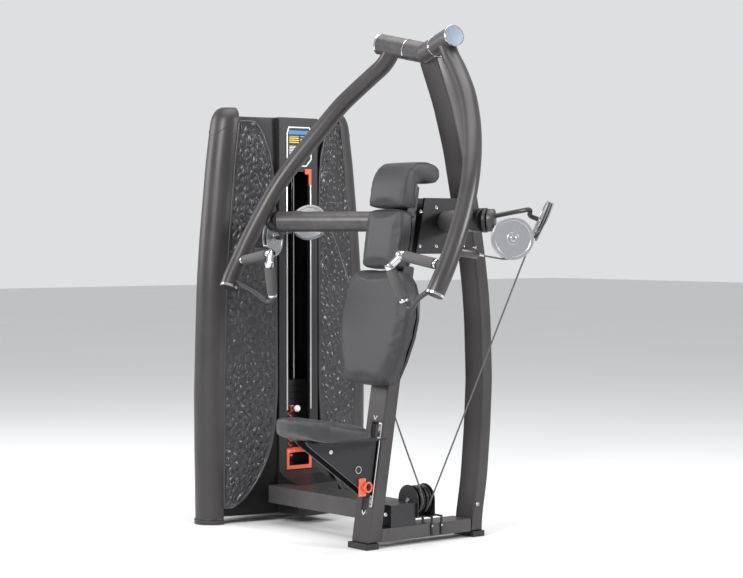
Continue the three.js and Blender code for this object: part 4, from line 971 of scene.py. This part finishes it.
class PRESS_OT_tower(bpy.types.Operator):
    """Weight tower: nose columns, hammered shields, shroud, placard and trims"""
    bl_idname = "press.tower"
    bl_label = "Weight tower"

    def execute(self, context):
        finish_cad("shroud_user", "dark", 0.0025)
        finish_cad("shroud_back", "dark", 0.003)
        for name in ("tower_base", "tower_top"):
            finish_cad(name, "dark", 0.002)
        for name in ("slot_trim_bottom", "slot_trim_top"):
            finish_cad(name, "accent", 0.0012)
        finish_cad("placard", "placard", 0.0008)
        s = settings()
        for name, end in (("front", -1), ("rear", 1)):
            self.column(name, end)
            for face, out in (("user", 1), ("back", -1)):
                self.shield(name, face, end, out, s.dimple, s.relief)
                self.skin(name, face, end, out)
        self.trims()
        return {"FINISHED"}

    def column(self, name, end):
        """Nose column, one rounded outline carried up the height."""
        bm = bmesh.new()
        rows = sorted({round(z, 4) for z, _ in COLUMN_SCALE} | {0.05 * i for i in range(1, 32)} | {1.58, 1.598})
        previous, edges, start = None, None, None
        steps = 28
        for z in rows:
            k = table(COLUMN_SCALE, z)
            y = TOWER_HALF - eased(INWARD, z)
            ring = [Vector((TOWER_X + COLUMN_R * k * math.cos(math.pi * i / steps),
                            TOWER_Y + end * (y + COLUMN_R * k * math.sin(math.pi * i / steps)), z))
                    for i in range(steps + 1)]
            ring += [Vector((TOWER_X - COLUMN_R * k, TOWER_Y + end * (y - 0.012), z)),
                     Vector((TOWER_X + COLUMN_R * k, TOWER_Y + end * (y - 0.012), z))]
            if previous is None:
                previous = [bm.verts.new(p) for p in ring]
                edges = [bm.edges.new(pair) for pair in zip(previous, previous[1:] + previous[:1])]
                start = edges
                continue
            made = bmesh.ops.extrude_edge_only(bm, edges=edges)["geom"]
            fresh = [g for g in made if isinstance(g, bmesh.types.BMVert)]
            edges = [g for g in made if isinstance(g, bmesh.types.BMEdge)]
            above = {}
            for vert in fresh:
                for e in vert.link_edges:
                    other = e.other_vert(vert)
                    if other in previous:
                        above[other] = vert
            previous = [above[v] for v in previous]
            for vert, place in zip(previous, ring):
                vert.co = place
        bmesh.ops.edgeloop_fill(bm, edges=start)
        bmesh.ops.edgeloop_fill(bm, edges=edges)
        piece(f"nose_column_{name}", bm, "column", "frame", [f"tower_column_{name}"], sharp=0.9)
        bm = bmesh.new()
        for low, slant in ((1.500, 0.072), (0.0205, 0.0)):
            line = []
            for i in range(61):
                t = math.sin(math.pi * i / 60)
                z = low + slant * (1 - t)
                k, y = table(COLUMN_SCALE, z), TOWER_HALF - eased(INWARD, z)
                line.append(Vector((TOWER_X + COLUMN_R * k * math.cos(math.pi * i / 60),
                                    TOWER_Y + end * (y + COLUMN_R * k * t), z)))
            sweep(bm, line, 0.0013, 8)
        piece(f"column_band_{name}", bm, "rim", "frame")

    def shield(self, name, face, end, out, dimple, relief):
        """D-shaped panel with hammered dimples and a pale rim."""
        bm = bmesh.new()
        across, along = 80, 520
        bmesh.ops.create_grid(bm, x_segments=across, y_segments=along, size=0.5)
        for vert in bm.verts:
            u, v = vert.co.x + 0.5, vert.co.y + 0.5
            flat = Vector((u * 0.215, v * 1.42, 0.31 * (out + 2 * end))) / dimple
            near, centres = noise.voronoi(flat)[:2]
            gap = min(max((near[1] - near[0]) / 0.5, 0), 1)
            turn = noise.cell_vector(centres[0] * 37.0)
            away = flat - centres[0]
            tilt = ((turn.x - 0.5) * away.x + (turn.y - 0.5) * away.y) * dimple * 0.45 * gap
            rise = gap * gap * (3 - 2 * gap)
            edge = min(max(min(u, 1 - u) * 26 - 0.6, 0), max(min(v, 1 - v) * 130 - 0.6, 0), 1.0)
            hollow = edge * min(relief * (rise * (0.8 - 0.3 * near[0] ** 2) - 1) + tilt, 0)
            vert.co = shield_point(out, end, v, u, hollow)
        if (out * end) > 0:
            bmesh.ops.reverse_faces(bm, faces=bm.faces)
        made = bmesh.ops.solidify(bm, geom=bm.faces[:], thickness=0.004)
        piece(f"shield_{name}_{face}_panel", bm, "shield", "frame", [f"shield_{name}_{face}"], sharp=1.3)
        bm = bmesh.new()
        loop = [shield_point(out, end, i / 90, 1, -0.002) for i in range(91)]
        loop += [shield_point(out, end, 1, 1 - i / 8, -0.002) for i in range(1, 8)]
        loop += [shield_point(out, end, 1 - i / 90, 0, -0.002) for i in range(91)]
        loop += [shield_point(out, end, 0, i / 8, -0.002) for i in range(1, 8)]
        sweep(bm, loop, 0.0050, 10, closed=True)
        piece(f"shield_{name}_{face}_rim", bm, "rim", "frame", sharp=2.0)

    def skin(self, name, face, end, out):
        """Plain sheet behind a shield, from the column to the shroud's side."""
        bm = bmesh.new()
        bmesh.ops.create_grid(bm, x_segments=12, y_segments=80, size=0.5)
        for vert in bm.verts:
            u, v = vert.co.x + 0.5, vert.co.y + 0.5
            z = 0.031 + 1.540 * v
            edge = TOWER_HALF - COLUMN_BACK - eased(INWARD, z)
            reach = u * (edge - 0.0953)
            rise = (SHROUD_OUT - COLUMN_R) * min(reach / SHIELD_SPAN, 1) - 0.0125
            vert.co = (TOWER_X + out * (COLUMN_R + rise), TOWER_Y + end * (edge - reach), z)
        if (out * end) > 0:
            bmesh.ops.reverse_faces(bm, faces=bm.faces)
        bmesh.ops.solidify(bm, geom=bm.faces[:], thickness=0.002)
        piece(f"shield_{name}_{face}_skin", bm, "dark", "frame", sharp=1.0)

    def trims(self):
        """Bright edges down the slot, black strips of painted shade for the grooves in the shroud, and the placard's
        rim.
        """
        x = TOWER_X + SHROUD_OUT
        bm = bmesh.new()
        for y in (TOWER_Y - 0.0575, TOWER_Y + 0.0575):
            block(bm, (x + 0.0003, y - 0.003, 0.43), (x + 0.003, y + 0.003, 1.352), 0.0008)
        piece("slot_edges", bm, "steel", "frame")
        # black strips down the shroud: painted shade standing in for the shade inside its two grooves
        bm = bmesh.new()
        for y in (TOWER_Y - 0.079, TOWER_Y + 0.079):
            block(bm, (x - 0.0002, y - 0.0015, 0.43), (x + 0.0008, y + 0.0015, 1.55), 0.0)
        piece("shroud_groove_shade", bm, "black", "frame")
        bm = bmesh.new()
        ring = [(-0.034, 1.384), (0.034, 1.384), (0.058, 1.410), (0.058, 1.510), (0.050, 1.534), (-0.050, 1.534),
                (-0.058, 1.510), (-0.058, 1.410)]
        path = []
        for (a, b), (c, d) in zip(ring, ring[1:] + ring[:1]):
            path += [Vector((x + 0.0035, TOWER_Y + a + (c - a) * i / 6, b + (d - b) * i / 6)) for i in range(6)]
        sweep(bm, path, 0.0028, 10, closed=True)
        piece("placard_rim", bm, "white", "frame", sharp=2.0)


class PRESS_OT_stack(bpy.types.Operator):
    """Weight plates, guide rods and the selector pin with its tether"""
    bl_idname = "press.stack"
    bl_label = "Weight stack"

    def execute(self, context):
        for name in ("stack_resting", "stack_lifted"):
            finish_cad(name, "plate", 0.0008)
        finish_cad("stack_bumper", "black", 0.002)
        for name, y in (("front", -0.062), ("rear", 0.062)):
            bm = bmesh.new()
            bar(bm, (TOWER_X, TOWER_Y + y, 0.0606), (TOWER_X, TOWER_Y + y, 1.561), 0.009, 32)
            piece(f"guide_bar_{name}", bm, "chrome", "frame", [f"guide_rod_{name}"])
        z = 0.4329
        bm = bmesh.new()
        bar(bm, (TOWER_X - 0.004, TOWER_Y, z), (TOWER_X + 0.06, TOWER_Y, z), 0.005, 24, 0.001)
        bar(bm, (TOWER_X + 0.076, TOWER_Y, z), (TOWER_X + 0.098, TOWER_Y, z), 0.007, 24)
        piece("selector_shaft", bm, "chrome", "selector_pin", ["selector_pin"])
        bm = bmesh.new()
        bar(bm, (TOWER_X + 0.058, TOWER_Y, z), (TOWER_X + 0.076, TOWER_Y, z), 0.012, 32, 0.002)
        piece("selector_ring", bm, "accent", "selector_pin")
        bm = bmesh.new()
        bmesh.ops.create_uvsphere(bm, u_segments=32, v_segments=20, radius=0.013,
                                  matrix=Matrix.Translation((TOWER_X + 0.106, TOWER_Y, z)))
        piece("selector_knob", bm, "white", "selector_pin")
        bm = bmesh.new()
        turns, points = 9, []
        for i in range(turns * 14 + 1):
            t = i / (turns * 14)
            a = 2 * math.pi * turns * t
            points.append(Vector((TOWER_X + 0.094 + 0.008 * math.cos(a), TOWER_Y - 0.028 + 0.008 * math.sin(a),
                                  0.425 - 0.175 * t)))
        sweep(bm, points, 0.0022, 8)
        bar(bm, (TOWER_X + 0.094, TOWER_Y - 0.028, 0.246), (TOWER_X + 0.094, TOWER_Y - 0.028, 0.254),
            0.011, 20, 0.001)
        piece("selector_tether", bm, "accent", "frame")
        bm = bmesh.new()
        for i in range(16):
            low = 0.150 + 0.0246 * i
            block(bm, (TOWER_X + 0.0541, TOWER_Y - 0.050, low + 0.006),
                  (TOWER_X + 0.0546, TOWER_Y - 0.030, low + 0.016), 0)
            if i == 10:
                piece("plate_labels_resting", bm, "white", "frame")
                bm = bmesh.new()
        piece("plate_labels_lifted", bm, "white", "stack")
        return {"FINISHED"}


class PRESS_OT_stage(bpy.types.Operator):
    """Pale floor, soft studio light and the camera"""
    bl_idname = "press.stage"
    bl_label = "Stage"

    def execute(self, context):
        bm = bmesh.new()
        bmesh.ops.create_grid(bm, x_segments=2, y_segments=2, size=30)
        mesh = bpy.data.meshes.new("floor")
        bm.to_mesh(mesh)
        bm.free()
        pale, tree, shader = material("floor_pale")
        shade = node(tree, "ShaderNodeTexNoise", Scale=0.8, Detail=2.0)
        tint = node(tree, "ShaderNodeMix", data_type="RGBA")
        tint.inputs["A"].default_value, tint.inputs["B"].default_value = (0.80, 0.80, 0.80, 1), (0.84, 0.84, 0.84, 1)
        place = node(tree, "ShaderNodeTexCoord")
        tree.links.new(place.outputs["Object"], shade.inputs["Vector"])
        tree.links.new(shade.outputs["Fac"], tint.inputs["Factor"])
        tree.links.new(tint.outputs["Result"], shader.inputs["Base Color"])
        shader.inputs["Roughness"].default_value = 0.7
        mesh.materials.append(pale)
        floor = bpy.data.objects.new("floor", mesh)
        context.scene.collection.objects.link(floor)
        for name, place, aim, size, power in (
                ("key_soft", (1.4, -4.6, 3.4), (-0.2, 0.1, 0.9), 1.8, 210),
                ("fill_soft", (-3.8, -2.6, 2.4), (-0.4, 0.2, 0.9), 2.2, 90),
                ("rim_soft", (4.2, 2.6, 2.8), (0.0, 0.2, 1.0), 1.4, 170),
                ("top_soft", (-0.2, 0.2, 4.6), (-0.2, 0.2, 0.0), 3.4, 120)):
            data = bpy.data.lights.new(name, "AREA")
            data.energy, data.size, data.shape = power, size, "SQUARE"
            lamp = bpy.data.objects.new(name, data)
            lamp.location = place
            lamp.rotation_euler = (Vector(aim) - Vector(place)).to_track_quat("-Z", "Y").to_euler()
            context.scene.collection.objects.link(lamp)
        world = bpy.data.worlds.new("studio")
        world.use_nodes = True
        tree = world.node_tree
        light = tree.nodes["Background"]
        light.inputs["Color"].default_value = (0.83, 0.84, 0.86, 1)
        light.inputs["Strength"].default_value = 0.75
        shown = node(tree, "ShaderNodeBackground", Color=(0.83, 0.84, 0.86, 1), Strength=0.88)
        ray, mix = node(tree, "ShaderNodeLightPath"), node(tree, "ShaderNodeMixShader")
        tree.links.new(ray.outputs["Is Camera Ray"], mix.inputs["Fac"])
        tree.links.new(light.outputs["Background"], mix.inputs[1])
        tree.links.new(shown.outputs["Background"], mix.inputs[2])
        tree.links.new(mix.outputs["Shader"], tree.nodes["World Output"].inputs["Surface"])
        context.scene.world = world
        context.scene.view_settings.view_transform = "Standard"
        data = bpy.data.cameras.new("camera")
        data.lens, data.sensor_width = 96.24, 36
        data.clip_end = 100
        camera = bpy.data.objects.new("camera", data)
        camera.location = (5.5023, -4.3984, 1.1248)
        camera.rotation_euler = (math.radians(90 - 1.634), 0, math.radians(51.125))
        context.scene.collection.objects.link(camera)
        context.scene.camera = camera
        return {"FINISHED"}


class PRESS_PT_panel(bpy.types.Panel):
    """Lists the machine's pieces"""
    bl_idname = "PRESS_PT_panel"
    bl_label = "Press machine"
    bl_space_type = "VIEW_3D"
    bl_region_type = "UI"
    bl_category = "Press"

    def draw(self, context):
        for name in PressSettings.__annotations__:
            self.layout.prop(context.scene.press_machine, name)
        for operator in OPERATORS:
            self.layout.operator(operator.bl_idname)


OPERATORS = (PRESS_OT_frame, PRESS_OT_wings, PRESS_OT_pulleys, PRESS_OT_arms, PRESS_OT_cables, PRESS_OT_pads,
             PRESS_OT_seat, PRESS_OT_tower, PRESS_OT_stack, PRESS_OT_stage)
CLASSES = (PressSettings, *OPERATORS, PRESS_PT_panel)


def register():
    for each in CLASSES:
        bpy.utils.register_class(each)
    bpy.types.Scene.press_machine = bpy.props.PointerProperty(type=PressSettings)


def unregister():
    del bpy.types.Scene.press_machine
    for each in reversed(CLASSES):
        bpy.utils.unregister_class(each)


def main():
    register()
    make_finishes()
    for each in OPERATORS:
        section, name = each.bl_idname.split(".")
        getattr(getattr(bpy.ops, section), name)()


if __name__ == "__main__":
    main()
